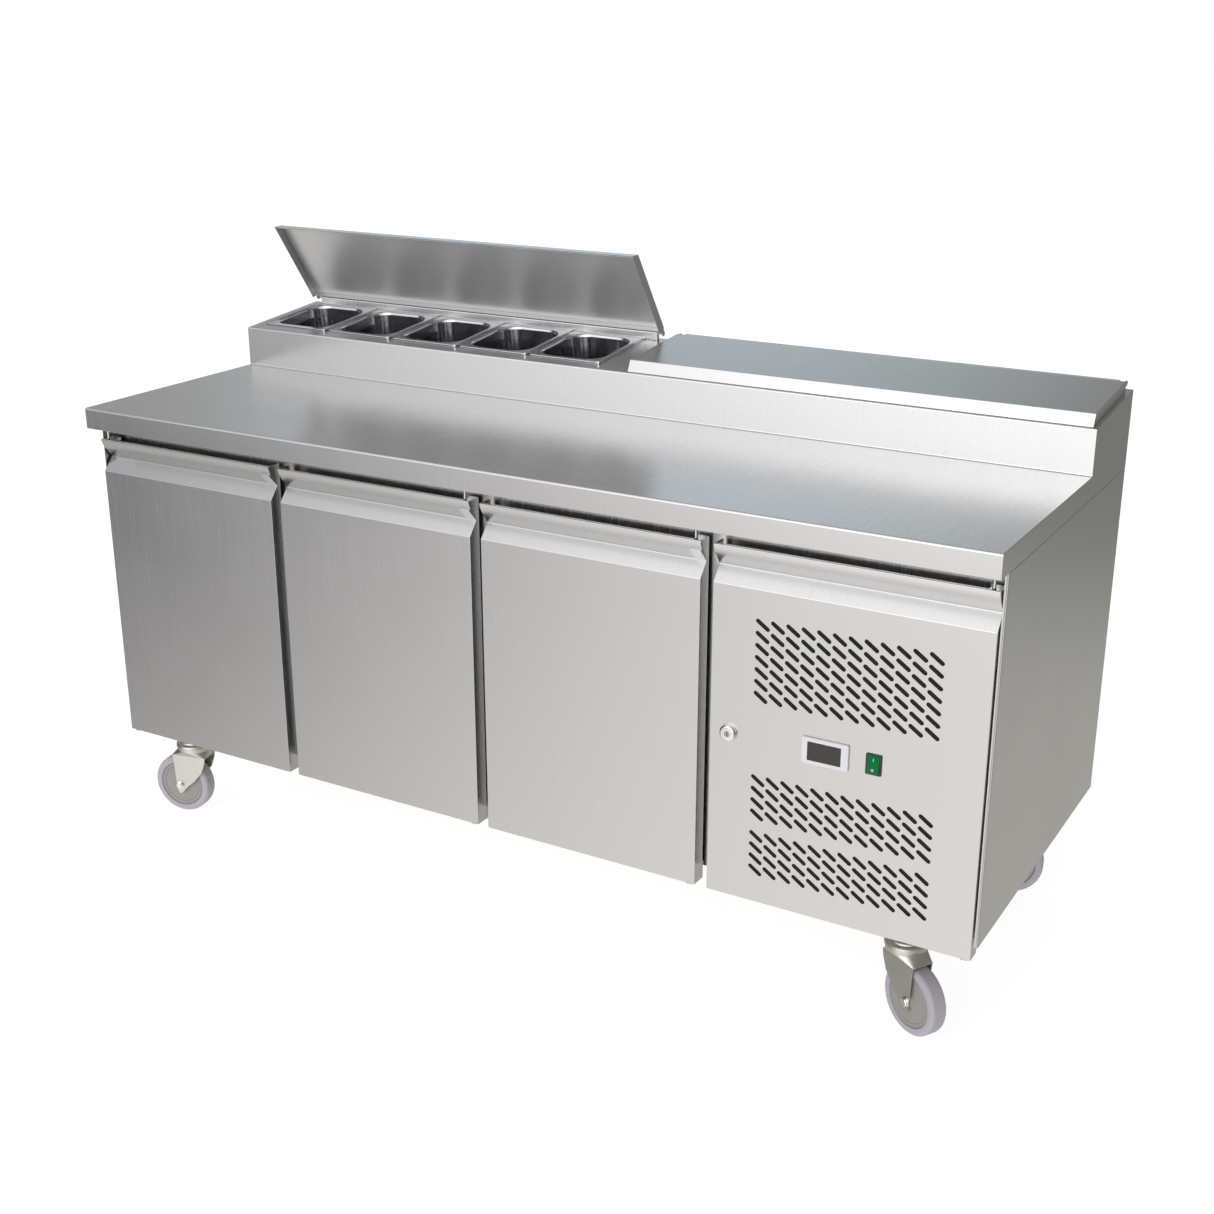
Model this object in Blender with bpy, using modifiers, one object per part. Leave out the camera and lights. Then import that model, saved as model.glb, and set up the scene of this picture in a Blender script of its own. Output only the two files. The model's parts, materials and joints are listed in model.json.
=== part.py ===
"""Refrigerated sandwich prep table on castors: stainless worktop, sloped pan upstand with two
hinged lids, three insulated doors and a vented machine-bay door. Metres, +Z up, the floor at
z = 0, the front towards -Y and the footprint centred on the origin."""

import math

import bmesh
import bpy
from mathutils import Matrix, Vector

GAP = 0.0003
OVERLAP = 0.0005
SHEET = 0.0015

# Shift that puts the origin under the middle of the whole, trailing wheels included
ORIGIN_X = 0.00923

# Overall envelope
WIDTH = 1.795
DEPTH = 0.700
HALF_W = WIDTH / 2
FRONT_Y = -DEPTH / 2
REAR_Y = DEPTH / 2
WORKTOP_TOP = 0.890
WORKTOP_THICK = 0.040
CASE_TOP = WORKTOP_TOP - WORKTOP_THICK
CASE_BOTTOM = 0.233

# Sloped upstand that carries the pans
RISER_Y = 0.120
RISER_FRONT_Z = 0.969
RISER_REAR_Z = 0.991
SLOPE = math.atan2(RISER_REAR_Z - RISER_FRONT_Z, REAR_Y - RISER_Y)

# Pan rows, in the upstand's own frame: x across, s up the slope
PAN_WIDTH = 0.162
PAN_LENGTH = 0.176
PAN_DEPTH = 0.100
PAN_PITCH = 0.1652
PAN_COUNT = 5
PAN_ROW_X = {"left": -0.8789, "right": 0.0400}
PAN_S = 0.0348
RIM_REST = 0.006
RIM_THICK = 0.002
RIM_WIDTH = 0.011
BAR_THICK = 0.0025
BAR_TALL = 0.0055
BAR_S = (0.0290, 0.2110)

# Lids and the rails that they hinge on
LID_X = {"left": (-0.8805, -0.0125), "right": (0.0215, 0.8895)}
LID_Y = 0.1263
LID_LENGTH = 0.2010
LID_THICK = 0.0196
LID_NOSE = 0.0125
LID_FLANGE = 0.0126
LID_LIFT = 0.0005
LID_AXIS_S = 0.2109
LID_AXIS_H = 0.0132
LID_OPEN = math.radians(61.1)
RAIL_INSET = 0.012
RAIL_R = 0.0045
RAIL_PIN_R = 0.0020
RAIL_BORE_R = 0.0021

# Doors
DOOR_X = ((-0.892, -0.474), (-0.452, -0.034), (-0.012, 0.407))
BAY_DOOR_X = (0.4295, 0.890)
DOOR_FRONT = -0.321
DOOR_BACK = -0.292
DOOR_BOTTOM = 0.2125
DOOR_TOP = 0.824
RECESS_BOTTOM = 0.760
RECESS_CREASE = (-0.300, 0.785)
LIP_FRONT = -0.323
CHANNEL_FLOOR = 0.808
BOSS_TOP = 0.819
BOSS_HALF = 0.010
PIVOT_INSET = 0.0125
PIVOT_Y = -0.314
PIN_R = 0.0030
BORE_R = 0.0031
PIN_DEPTH = 0.0095

# Front frame, gaskets and insulated walls
FRAME_FRONT = -0.285
FRAME_BACK = -0.265
FRAME_OPENING_TOP = 0.785
OPENING_INSET = 0.0265
SKIN_FRONT = -0.313
WALL = 0.045
SKIN = 0.0012
HEM_LEFT = 0.0030
HEM_RIGHT = 0.0045
BAY_HEM = 0.030
GASKET_OUTER = 0.0125
GASKET_WIDTH = 0.012
GASKET_BOTTOM = 0.030
GASKET_TOP = 0.022
BULKHEAD_X = (0.3955, 0.4405)
CEILING_Z = 0.805
BAY_FLOOR = 0.004

# Air slots in the back of the machine bay
SLOT_X = (0.500, 0.670)
SLOT_Z = 0.300
SLOT_PITCH = 0.030
SLOT_ROWS = 6
SLOT_LONG = 0.140
SLOT_TALL = 0.010

# Hinge plates above the doors, feet below them, and their pins
HINGE_HALF = 0.010
HINGE_REACH = 0.0052
HINGE_PLATE_Z = (0.8462, 0.8492)
HINGE_FOOT_Z = (0.2094, 0.2118)
HINGE_LEG_Z = (0.2092, 0.2415)
HINGE_LEG = 0.0025
PIN_TOP = 0.8470
PIN_FOOT = 0.2100

# Shelves
SHELF_Z = 0.540
SHELF_THICK = 0.006
SHELF_Y = (-0.258, 0.292)
SHELF_X = ((-0.848, -0.468), (-0.458, -0.028), (-0.018, 0.387))
SHELF_WIRE = 0.014
SHELF_COLUMNS = 5
LEDGE = 0.0043
LEDGE_DEEP = 0.012
TAB_HALF = 0.028
TAB_DEEP = 0.016

# Vents, lock, controller and switch in the bay door
VENT_X = 0.5179
VENT_PITCH_X = 0.0259
VENT_COLUMNS = 12
VENT_BLOCKS = ((0.7028, 0.5805, 7), (0.4343, 0.3725, 4), (0.3332, 0.2716, 4))
VENT_RUN = 0.0221
VENT_FALL = 0.0155
VENT_HALF = 0.0033
LOCK_X = 0.464
LOCK_Z = 0.508
LOCK_R = 0.0145
LOCK_PROUD = 0.008
CAM_LENGTH = 0.020
CONTROL_X = (0.5925, 0.6723)
CONTROL_Z = (0.4865, 0.5320)
SCREEN_X = (0.6030, 0.6602)
SCREEN_Z = (0.4932, 0.5256)
SCREEN_DEEP = 0.0012
CONTROL_PROUD = 0.0045
SWITCH_X = 0.7135
SWITCH_Z = 0.5092
SWITCH_W = 0.0265
SWITCH_H = 0.0358
SWITCH_PROUD = 0.0025
SWITCH_BODY = (0.0112, 0.0166)
ROCKER_W = 0.0190
ROCKER_H = 0.0285
ROCKER_TILT = math.radians(8.0)
ROCKER_Y = -0.3180
ROCKER_DISH = -0.0070
ROCKER_ENDS = -0.0088

# Castors: swivel axis and the way that each wheel trails
TYRE_R = 0.0625
TYRE_HALF = 0.016
HUB_R = 0.0475
AXLE_R = 0.0050
AXLE_HALF = 0.0265
TRAIL = 0.030
WHEEL_SIDES = 24
MOUNT_HALF = 0.045
MOUNT_THICK = 0.006
STEM = ((0, 0.2285), (0.016, 0.2285), (0.016, 0.1740), (0.030, 0.1690), (0.030, 0.1610),
        (0.0060, 0.1610), (0.0060, 0.1300), (0, 0.1300))
RACE = ((0, 0.1606), (0.0300, 0.1606), (0.0370, 0.1540), (0.0370, 0.1450), (0.0330, 0.1380),
        (0.0330, 0.1330), (0, 0.1330))
STEM_BORE_R = 0.0062
CROWN_X = (-0.034, 0.044)
CROWN_HALF = 0.0218
CROWN_Z = (0.1310, 0.1345)
LEG_Y = (0.0190, 0.0215)
LEG = ((-0.0335, 0.1330), (0.0435, 0.1330), (0.0430, 0.1180), (0.0425, 0.0660), (0.0375, 0.0505),
       (0.0225, 0.0505), (0.0170, 0.0660), (-0.0300, 0.1180))
HEAD_R = 0.0085
HEAD_Y = (0.0210, 0.0270)
CASTORS = {
    "front_left": ((-0.8231, -0.2171), math.radians(191.3)),
    "front_right": ((0.7519, -0.2203), math.radians(-29.4)),
    "rear_left": ((-0.8231, 0.3050), math.radians(9.0)),
    "rear_right": ((0.7398, 0.3050), math.radians(13.0)),
}

# Refrigeration
COIL_X = (0.306, 0.3952)
COIL_Y = (-0.060, 0.240)
COIL_Z = (0.565, 0.765)
COVER_X = (0.262, 0.3057)
FAN_R = 0.062
FAN_HUB_R = 0.016
FAN_DEEP = 0.014
MOTOR_R = 0.018
COMPRESSOR_XY = (0.765, 0.130)
COMPRESSOR_R = 0.078
CONDENSER_X = (0.500, 0.800)
CONDENSER_Y = (-0.205, -0.150)
CONDENSER_Z = (0.2375, 0.4875)
CONDENSER_FAN_R = 0.095
CONDENSER_HUB_R = 0.022
CONDENSER_FAN_DEEP = 0.016
SHROUD_DEEP = 0.036
BLADE_LEAN = math.radians(24)


def clear_scene():
    for obj in list(bpy.data.objects):
        bpy.data.objects.remove(obj, do_unlink=True)


def new_collection(name):
    collection = bpy.data.collections.new(name)
    bpy.context.scene.collection.children.link(collection)
    return collection


def material(name, colour, roughness, metallic):
    mat = bpy.data.materials.new(name)
    mat.use_nodes = True
    shader = mat.node_tree.nodes["Principled BSDF"]
    shader.inputs["Base Color"].default_value = (*colour, 1.0)
    shader.inputs["Roughness"].default_value = roughness
    shader.inputs["Metallic"].default_value = metallic
    return mat


def take(obj, collection):
    """Move an object that an operator has just made into one of this file's collections."""
    for owner in list(obj.users_collection):
        owner.objects.unlink(obj)
    collection.objects.link(obj)
    return obj


def from_bmesh(name, bm, collection):
    bmesh.ops.recalc_face_normals(bm, faces=bm.faces)
    mesh = bpy.data.meshes.new(name)
    bm.to_mesh(mesh)
    bm.free()
    obj = bpy.data.objects.new(name, mesh)
    collection.objects.link(obj)
    return obj


def block(name, low, high, collection=None):
    """Box between two opposite corners."""
    bm = bmesh.new()
    bmesh.ops.create_cube(bm, size=1.0)
    low = Vector(low)
    high = Vector(high)
    bmesh.ops.scale(bm, vec=high - low, verts=bm.verts)
    bmesh.ops.translate(bm, vec=(high + low) / 2, verts=bm.verts)
    return from_bmesh(name, bm, collection or CUTTERS)


def rod(name, start, end, radius, sides=16, collection=None):
    """Round bar from one point to another."""
    start = Vector(start)
    end = Vector(end)
    run = end - start
    bm = bmesh.new()
    bmesh.ops.create_cone(bm, cap_ends=True, segments=sides, radius1=radius,
                          radius2=radius, depth=run.length)
    turn = Vector((0, 0, 1)).rotation_difference(run.normalized()).to_matrix().to_4x4()
    bmesh.ops.transform(bm, matrix=Matrix.Translation((start + end) / 2) @ turn, verts=bm.verts)
    return from_bmesh(name, bm, collection or CUTTERS)


AXES = {
    "x": Matrix(((0, 0, 1, 0), (1, 0, 0, 0), (0, 1, 0, 0), (0, 0, 0, 1))),
    "y": Matrix(((1, 0, 0, 0), (0, 0, -1, 0), (0, 1, 0, 0), (0, 0, 0, 1))),
    "z": Matrix.Identity(4),
}


def outline(name, loops, low, high, axis, collection=None):
    """Flat outline, holes included, extruded along an axis: (y, z) for x, (x, z) for y, (x, y) for z."""
    curve = bpy.data.curves.new(name, "CURVE")
    curve.dimensions = "2D"
    curve.fill_mode = "BOTH"
    curve.extrude = (high - low) / 2
    for loop in loops:
        spline = curve.splines.new("POLY")
        spline.points.add(len(loop) - 1)
        for point, (u, v) in zip(spline.points, loop):
            point.co = (u, v, 0, 1)
        spline.use_cyclic_u = True
    obj = bpy.data.objects.new(name, curve)
    CUTTERS.objects.link(obj)
    bpy.context.view_layer.update()
    graph = bpy.context.evaluated_depsgraph_get()
    mesh = bpy.data.meshes.new_from_object(obj.evaluated_get(graph))
    bpy.data.objects.remove(obj, do_unlink=True)
    bm = bmesh.new()
    bm.from_mesh(mesh)
    bmesh.ops.remove_doubles(bm, verts=bm.verts, dist=1e-6)
    middle = (high + low) / 2
    shift = {"x": (middle, 0, 0), "y": (0, middle, 0), "z": (0, 0, middle)}[axis]
    bmesh.ops.transform(bm, matrix=Matrix.Translation(shift) @ AXES[axis], verts=bm.verts)
    return from_bmesh(name, bm, collection or CUTTERS)


def turned(name, profile, sides, collection=None):
    """Profile of (radius, height) pairs, outer side top to bottom, turned about Z."""
    mesh = bpy.data.meshes.new(name)
    edges = [(i, i + 1) for i in range(len(profile) - 1)]
    mesh.from_pydata([(r, 0, z) for r, z in profile], edges, [])
    obj = bpy.data.objects.new(name, mesh)
    (collection or CUTTERS).objects.link(obj)
    screw = obj.modifiers.new("Turn", "SCREW")
    screw.steps = sides
    screw.render_steps = sides
    screw.use_merge_vertices = True
    screw.merge_threshold = 0.0001
    screw.use_normal_calculate = True
    return bake(obj)


def bake(obj):
    """Replace an object's mesh with its evaluated one and drop the modifiers."""
    bpy.context.view_layer.update()
    graph = bpy.context.evaluated_depsgraph_get()
    mesh = bpy.data.meshes.new_from_object(obj.evaluated_get(graph))
    obj.modifiers.clear()
    obj.data = mesh
    bm = bmesh.new()
    bm.from_mesh(mesh)
    bmesh.ops.remove_doubles(bm, verts=bm.verts, dist=1e-6)
    bmesh.ops.recalc_face_normals(bm, faces=bm.faces)
    bm.to_mesh(mesh)
    bm.free()
    return obj


def boolean(target, others, operation):
    for other in others:
        modifier = target.modifiers.new(operation, "BOOLEAN")
        modifier.operation = operation
        modifier.solver = "EXACT"
        modifier.object = other
    bake(target)
    for other in others:
        bpy.data.objects.remove(other, do_unlink=True)
    return target


def cut(target, *others):
    return boolean(target, others, "DIFFERENCE")


def join(target, *others):
    return boolean(target, others, "UNION")


def bevel(obj, width, segments=1, angle=30.0):
    modifier = obj.modifiers.new("Bevel", "BEVEL")
    modifier.width = width
    modifier.segments = segments
    modifier.limit_method = "ANGLE"
    modifier.angle_limit = math.radians(angle)
    return bake(obj)


def move(obj, matrix):
    """Carry an object's mesh through a matrix, the object itself staying at the origin."""
    obj.data.transform(matrix)
    return obj


def finish(obj, name, mat, pivot=(0, 0, 0), smooth=False):
    """Name the piece, give it its material and put its origin on its own axis."""
    take(obj, PARTS)
    obj.name = name
    obj.data.name = name
    obj.data.transform(Matrix.Translation(-Vector(pivot)))
    obj.location = pivot
    obj.data.materials.clear()
    obj.data.materials.append(mat)
    for polygon in obj.data.polygons:
        polygon.use_smooth = False
    if smooth:
        obj.data.set_sharp_from_angle(angle=math.radians(35))
        for polygon in obj.data.polygons:
            polygon.use_smooth = True
    return obj


def rounded(u0, u1, v0, v1, radius, segments):
    """Rectangle outline with rounded corners."""
    points = []
    for cu, cv, start in ((u1 - radius, v1 - radius, 0), (u0 + radius, v1 - radius, 90),
                          (u0 + radius, v0 + radius, 180), (u1 - radius, v0 + radius, 270)):
        for step in range(segments + 1):
            angle = math.radians(start + 90 * step / segments)
            points.append((cu + radius * math.cos(angle), cv + radius * math.sin(angle)))
    return points


def circle(u, v, radius, sides, start=0.0):
    turns = [start + 2 * math.pi * step / sides for step in range(sides)]
    return [(u + radius * math.cos(a), v + radius * math.sin(a)) for a in turns]


def slope_frame():
    """Frame of the sloped top: x across, y up the slope from its front edge, z out of it."""
    return Matrix.Translation((0, RISER_Y, RISER_FRONT_Z)) @ Matrix.Rotation(SLOPE, 4, "X")


# ---------------------------------------------------------------- case


def build_worktop():
    obj = block("worktop", (-HALF_W, FRONT_Y, CASE_TOP), (HALF_W, RISER_Y - GAP, WORKTOP_TOP))
    return finish(bevel(obj, 0.0015, 2), "worktop", STEEL)


def row_span(side):
    left = PAN_ROW_X[side]
    return left, left + (PAN_COUNT - 1) * PAN_PITCH + PAN_WIDTH


def bar_positions(side):
    """Divider bars: after each pan of the left row, before each pan of the right row."""
    first = PAN_ROW_X[side] - (PAN_PITCH - PAN_WIDTH) / 2
    if side == "left":
        first += PAN_PITCH
    return [first + step * PAN_PITCH for step in range(PAN_COUNT)]


def build_riser():
    profile = [(RISER_Y, CASE_TOP), (REAR_Y, CASE_TOP), (REAR_Y, RISER_REAR_Z),
               (RISER_Y, RISER_FRONT_Z)]
    riser = outline("riser", [profile], -HALF_W, HALF_W, "x")
    wells = []
    bars = []
    for side in ("left", "right"):
        x0, x1 = row_span(side)
        loop = rounded(x0 + RIM_REST, x1 - RIM_REST, PAN_S + RIM_REST,
                       PAN_S + PAN_LENGTH - RIM_REST, 0.012, 2)
        wells.append(move(outline("well", [loop], -0.20, 0.05, "z"), slope_frame()))
        for x in bar_positions(side):
            bar = block("bar", (x - BAR_THICK / 2, BAR_S[0], -0.001),
                        (x + BAR_THICK / 2, BAR_S[1], BAR_TALL))
            bars.append(move(bar, slope_frame()))
    cut(riser, *wells)
    join(riser, *bars)
    return finish(riser, "riser", STEEL)


def build_side(name, sign, hem):
    """Side wall, hemmed in front: foamed slab on the cold side, folded sheet on the machine bay's."""
    x = sign * HALF_W
    skin = x - sign * SKIN
    turned_in = x - sign * hem
    loop = [(x, SKIN_FRONT), (turned_in, SKIN_FRONT), (turned_in, SKIN_FRONT + SKIN),
            (skin, SKIN_FRONT + SKIN)]
    if sign < 0:
        inner = x - sign * WALL
        loop += [(skin, FRAME_BACK + GAP), (inner, FRAME_BACK + GAP), (inner, REAR_Y), (x, REAR_Y)]
    else:
        back = x - sign * BAY_HEM
        loop += [(skin, REAR_Y - SKIN), (back, REAR_Y - SKIN), (back, REAR_Y), (x, REAR_Y)]
    obj = outline(name, [loop], CASE_BOTTOM, CASE_TOP - GAP, "z")
    if sign < 0:
        join(obj, block("ledge", (inner - OVERLAP, FRAME_BACK + 0.02, SHELF_Z - LEDGE),
                        (inner + LEDGE_DEEP, 0.280, SHELF_Z - GAP)))
    return finish(obj, name, STEEL)


def build_back():
    x0 = -HALF_W + WALL + GAP
    x1 = HALF_W - BAY_HEM - GAP
    split = BULKHEAD_X[1]
    inner = REAR_Y - WALL
    loop = [(x0, inner), (split, inner), (split, REAR_Y - 0.002), (x1, REAR_Y - 0.002),
            (x1, REAR_Y), (x0, REAR_Y)]
    back = outline("back_panel", [loop], CASE_BOTTOM, CASE_TOP - GAP, "z")
    slots = []
    for row in range(SLOT_ROWS):
        for u0 in SLOT_X:
            v0 = SLOT_Z + SLOT_PITCH * row
            slots.append(rounded(u0, u0 + SLOT_LONG, v0, v0 + SLOT_TALL, 0.49 * SLOT_TALL, 1))
    cutter = outline("slots", slots, REAR_Y - 0.010, REAR_Y + 0.010, "y")
    cut(back, cutter)
    ledge = block("ledge", (x0 + 0.020, inner - 0.014, SHELF_Z - LEDGE),
                  (BULKHEAD_X[0] - 0.020, inner + OVERLAP, SHELF_Z - GAP))
    return finish(join(back, ledge), "back_panel", STEEL)


def build_bottom():
    x0 = -HALF_W + WALL + GAP
    x1 = HALF_W - SKIN - GAP
    loop = [(x0, CASE_BOTTOM), (x1, CASE_BOTTOM), (x1, CASE_BOTTOM + BAY_FLOOR),
            (BULKHEAD_X[1], CASE_BOTTOM + BAY_FLOOR), (BULKHEAD_X[1], CASE_BOTTOM + WALL),
            (x0, CASE_BOTTOM + WALL)]
    obj = outline("bottom_panel", [loop], FRAME_BACK + GAP, REAR_Y - WALL - GAP, "y")
    join(obj, block("rear", (BULKHEAD_X[1] + GAP, REAR_Y - WALL - 0.010, CASE_BOTTOM + 0.0004),
                    (HALF_W - 0.032, REAR_Y - 0.002 - GAP, CASE_BOTTOM + BAY_FLOOR - 0.0004)))
    return finish(obj, "bottom_panel", STEEL)


def build_bulkhead():
    """Insulated partition, with the ceiling that closes the machine bay under the pan well."""
    x0, x1 = BULKHEAD_X
    loop = [(x0, CASE_BOTTOM + WALL + GAP), (x1 - GAP, CASE_BOTTOM + WALL + GAP), (x1 - GAP, CEILING_Z),
            (HALF_W - SKIN - GAP, CEILING_Z), (HALF_W - SKIN - GAP, CASE_TOP - GAP),
            (x0, CASE_TOP - GAP)]
    obj = outline("bulkhead", [loop], FRAME_BACK + GAP, REAR_Y - WALL - GAP, "y")
    join(obj, block("ledge", (x0 - LEDGE_DEEP, FRAME_BACK + 0.02, SHELF_Z - LEDGE),
                    (x0 + OVERLAP, 0.280, SHELF_Z - GAP)))
    return finish(obj, "bulkhead", LINER)


def hinge_pivots():
    """Hinge line of each hung door: the first is hung on its left, the rest on their right."""
    pivots = [DOOR_X[0][0] + PIVOT_INSET]
    pivots += [x1 - PIVOT_INSET for x0, x1 in (*DOOR_X[1:], BAY_DOOR_X)]
    return pivots


def build_frame():
    edge = HALF_W - SKIN - GAP
    frame = block("frame", (-edge, FRAME_FRONT, CASE_BOTTOM), (edge, FRAME_BACK, CASE_TOP - GAP))
    openings = []
    for x0, x1 in (*DOOR_X, BAY_DOOR_X):
        left = max(x0 + OPENING_INSET, WALL - HALF_W)
        openings.append(block("opening", (left, FRAME_FRONT - 0.01, CASE_BOTTOM + WALL),
                              (x1 - OPENING_INSET, FRAME_BACK + 0.01, FRAME_OPENING_TOP)))
    cut(frame, *openings)
    extras = []
    front = PIVOT_Y - HINGE_REACH
    for x in hinge_pivots():
        left, right = x - HINGE_HALF, x + HINGE_HALF
        extras.append(block("plate", (left, front, HINGE_PLATE_Z[0]),
                            (right, FRAME_FRONT + OVERLAP, HINGE_PLATE_Z[1])))
        extras.append(rod("pin", (x, PIVOT_Y, PIN_TOP), (x, PIVOT_Y, BOSS_TOP - PIN_DEPTH), PIN_R))
        extras.append(block("leg", (left, FRAME_FRONT - HINGE_LEG, HINGE_LEG_Z[0]),
                            (right, FRAME_FRONT + OVERLAP, HINGE_LEG_Z[1])))
        extras.append(block("foot", (left + OVERLAP, front, HINGE_FOOT_Z[0]),
                            (right - OVERLAP, FRAME_FRONT - 0.001, HINGE_FOOT_Z[1])))
        extras.append(rod("pin", (x, PIVOT_Y, PIN_FOOT), (x, PIVOT_Y, DOOR_BOTTOM + PIN_DEPTH), PIN_R))
    for left, right in zip(DOOR_X, DOOR_X[1:]):
        x = (left[1] + right[0]) / 2
        extras.append(block("tab", (x - TAB_HALF, FRAME_BACK - OVERLAP, SHELF_Z - LEDGE),
                            (x + TAB_HALF, FRAME_BACK + TAB_DEEP, SHELF_Z - GAP)))
    return finish(join(frame, *extras), "front_frame", STEEL)


def build_shelf(index):
    """Shelf as a flat grid with openings in two rows."""
    x0, x1 = SHELF_X[index]
    y0, y1 = SHELF_Y
    loops = [[(x0, y0), (x1, y0), (x1, y1), (x0, y1)]]
    border = SHELF_WIRE
    pitch = (x1 - x0 - border) / SHELF_COLUMNS
    for column in range(SHELF_COLUMNS):
        for row in range(2):
            u0 = x0 + border + column * pitch
            v0 = y0 + border + row * (y1 - y0 - border) / 2
            u1 = u0 + pitch - border
            v1 = v0 + (y1 - y0 - border) / 2 - border
            loops.append([(u0, v0), (u1, v0), (u1, v1), (u0, v1)])
    name = f"shelf_{index + 1}"
    return finish(outline(name, loops, SHELF_Z, SHELF_Z + SHELF_THICK, "z"), name, WIRE)


# ---------------------------------------------------------------- doors


def door_profile():
    return [(DOOR_BACK, DOOR_BOTTOM), (DOOR_BACK, DOOR_TOP), (LIP_FRONT + 0.001, DOOR_TOP),
            (LIP_FRONT, DOOR_TOP - 0.001), (LIP_FRONT, 0.8140), (-0.3200, 0.8085),
            (-0.3140, 0.8020), (-0.3060, 0.7945), RECESS_CREASE, (DOOR_FRONT, RECESS_BOTTOM),
            (DOOR_FRONT, DOOR_BOTTOM + 0.001), (DOOR_FRONT + 0.001, DOOR_BOTTOM)]


def door_body(x0, x1, pivot):
    """Door slab with a finger channel behind its lip, shallow over the hinge boss and deep elsewhere."""
    body = outline("door", [door_profile()], x0, x1, "x")
    back = DOOR_BACK - SHEET
    top = DOOR_TOP + 0.005
    shallow = block("shallow", (x0 + SHEET, LIP_FRONT + 0.0020, BOSS_TOP), (x1 - SHEET, back, top))
    front = LIP_FRONT + 0.0024
    loop = [(front + 0.0070, CHANNEL_FLOOR), (back - 0.0004, CHANNEL_FLOOR), (back - 0.0004, top),
            (front, top), (front, BOSS_TOP - 0.0025)]
    if pivot < (x0 + x1) / 2:
        low, high = pivot + BOSS_HALF, x1 - SHEET - 0.0004
    else:
        low, high = x0 + SHEET + 0.0004, pivot - BOSS_HALF
    return cut(body, shallow, outline("deep", [loop], low, high, "x"))


def bores(pivot):
    return [rod("bore", (pivot, PIVOT_Y, BOSS_TOP + 0.004),
                (pivot, PIVOT_Y, BOSS_TOP - PIN_DEPTH - GAP), BORE_R),
            rod("bore", (pivot, PIVOT_Y, DOOR_BOTTOM - 0.004),
                (pivot, PIVOT_Y, DOOR_BOTTOM + PIN_DEPTH + GAP), BORE_R)]


def build_door(index):
    x0, x1 = DOOR_X[index]
    pivot = hinge_pivots()[index]
    body = door_body(x0, x1, pivot)
    cut(body, *bores(pivot))
    return finish(body, f"door_{index + 1}", STEEL, (pivot, PIVOT_Y, DOOR_BOTTOM))


def build_gasket(index):
    x0, x1 = DOOR_X[index]
    outer = rounded(x0 + GASKET_OUTER, x1 - GASKET_OUTER, DOOR_BOTTOM + GASKET_BOTTOM,
                    DOOR_TOP - GASKET_TOP, 0.004, 1)
    w = GASKET_WIDTH
    inner = rounded(x0 + GASKET_OUTER + w, x1 - GASKET_OUTER - w, DOOR_BOTTOM + GASKET_BOTTOM + w,
                    DOOR_TOP - GASKET_TOP - w, 0.002, 1)
    obj = outline("gasket", [outer, inner], DOOR_BACK + GAP, FRAME_FRONT - GAP, "y")
    pivot = (hinge_pivots()[index], PIVOT_Y, DOOR_BOTTOM)
    return finish(obj, f"door_{index + 1}_gasket", RUBBER, pivot)


def vent_slots():
    """Leaning slots in three blocks, each slot falling from left to right."""
    run = Vector((VENT_RUN, -VENT_FALL)) / 2
    across = Vector((VENT_FALL, VENT_RUN)).normalized() * VENT_HALF
    loops = []
    for top, bottom, rows in VENT_BLOCKS:
        for row in range(rows):
            z = top + (bottom - top) * row / (rows - 1)
            for column in range(VENT_COLUMNS):
                c = Vector((VENT_X + column * VENT_PITCH_X, z))
                corners = (c - run - across, c + run - across, c + run + across, c - run + across)
                loops.append([tuple(p) for p in corners])
    return outline("vents", loops, DOOR_FRONT - 0.004, DOOR_FRONT + 0.006, "y")


def build_bay_door():
    x0, x1 = BAY_DOOR_X
    pivot = hinge_pivots()[3]
    body = door_body(x0, x1, pivot)
    hollow = block("hollow", (x0 + SHEET, DOOR_FRONT + SHEET, DOOR_BOTTOM + SHEET),
                   (x1 - SHEET, DOOR_BACK + 0.005, RECESS_BOTTOM - SHEET))
    cut(body, hollow)
    boss = block("boss", (pivot - 0.012, DOOR_FRONT + OVERLAP, DOOR_BOTTOM + OVERLAP),
                 (x1 - OVERLAP, DOOR_BACK - 0.001, DOOR_BOTTOM + 0.020))
    join(body, boss)
    control = block("control", (CONTROL_X[0] + 0.004, DOOR_FRONT - 0.01, CONTROL_Z[0] + 0.005),
                    (CONTROL_X[1] - 0.004, DOOR_FRONT + 0.01, CONTROL_Z[1] - 0.005))
    half_w, half_h = SWITCH_BODY[0] + GAP, SWITCH_BODY[1] + GAP
    switch = block("switch", (SWITCH_X - half_w, DOOR_FRONT - 0.01, SWITCH_Z - half_h),
                   (SWITCH_X + half_w, DOOR_FRONT + 0.01, SWITCH_Z + half_h))
    lock = rod("lock", (LOCK_X, DOOR_FRONT - 0.01, LOCK_Z), (LOCK_X, DOOR_FRONT + 0.01, LOCK_Z), 0.0093)
    cut(body, vent_slots(), control, switch, lock, *bores(pivot))
    return finish(body, "bay_door", STEEL, (pivot, PIVOT_Y, DOOR_BOTTOM))


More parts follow.
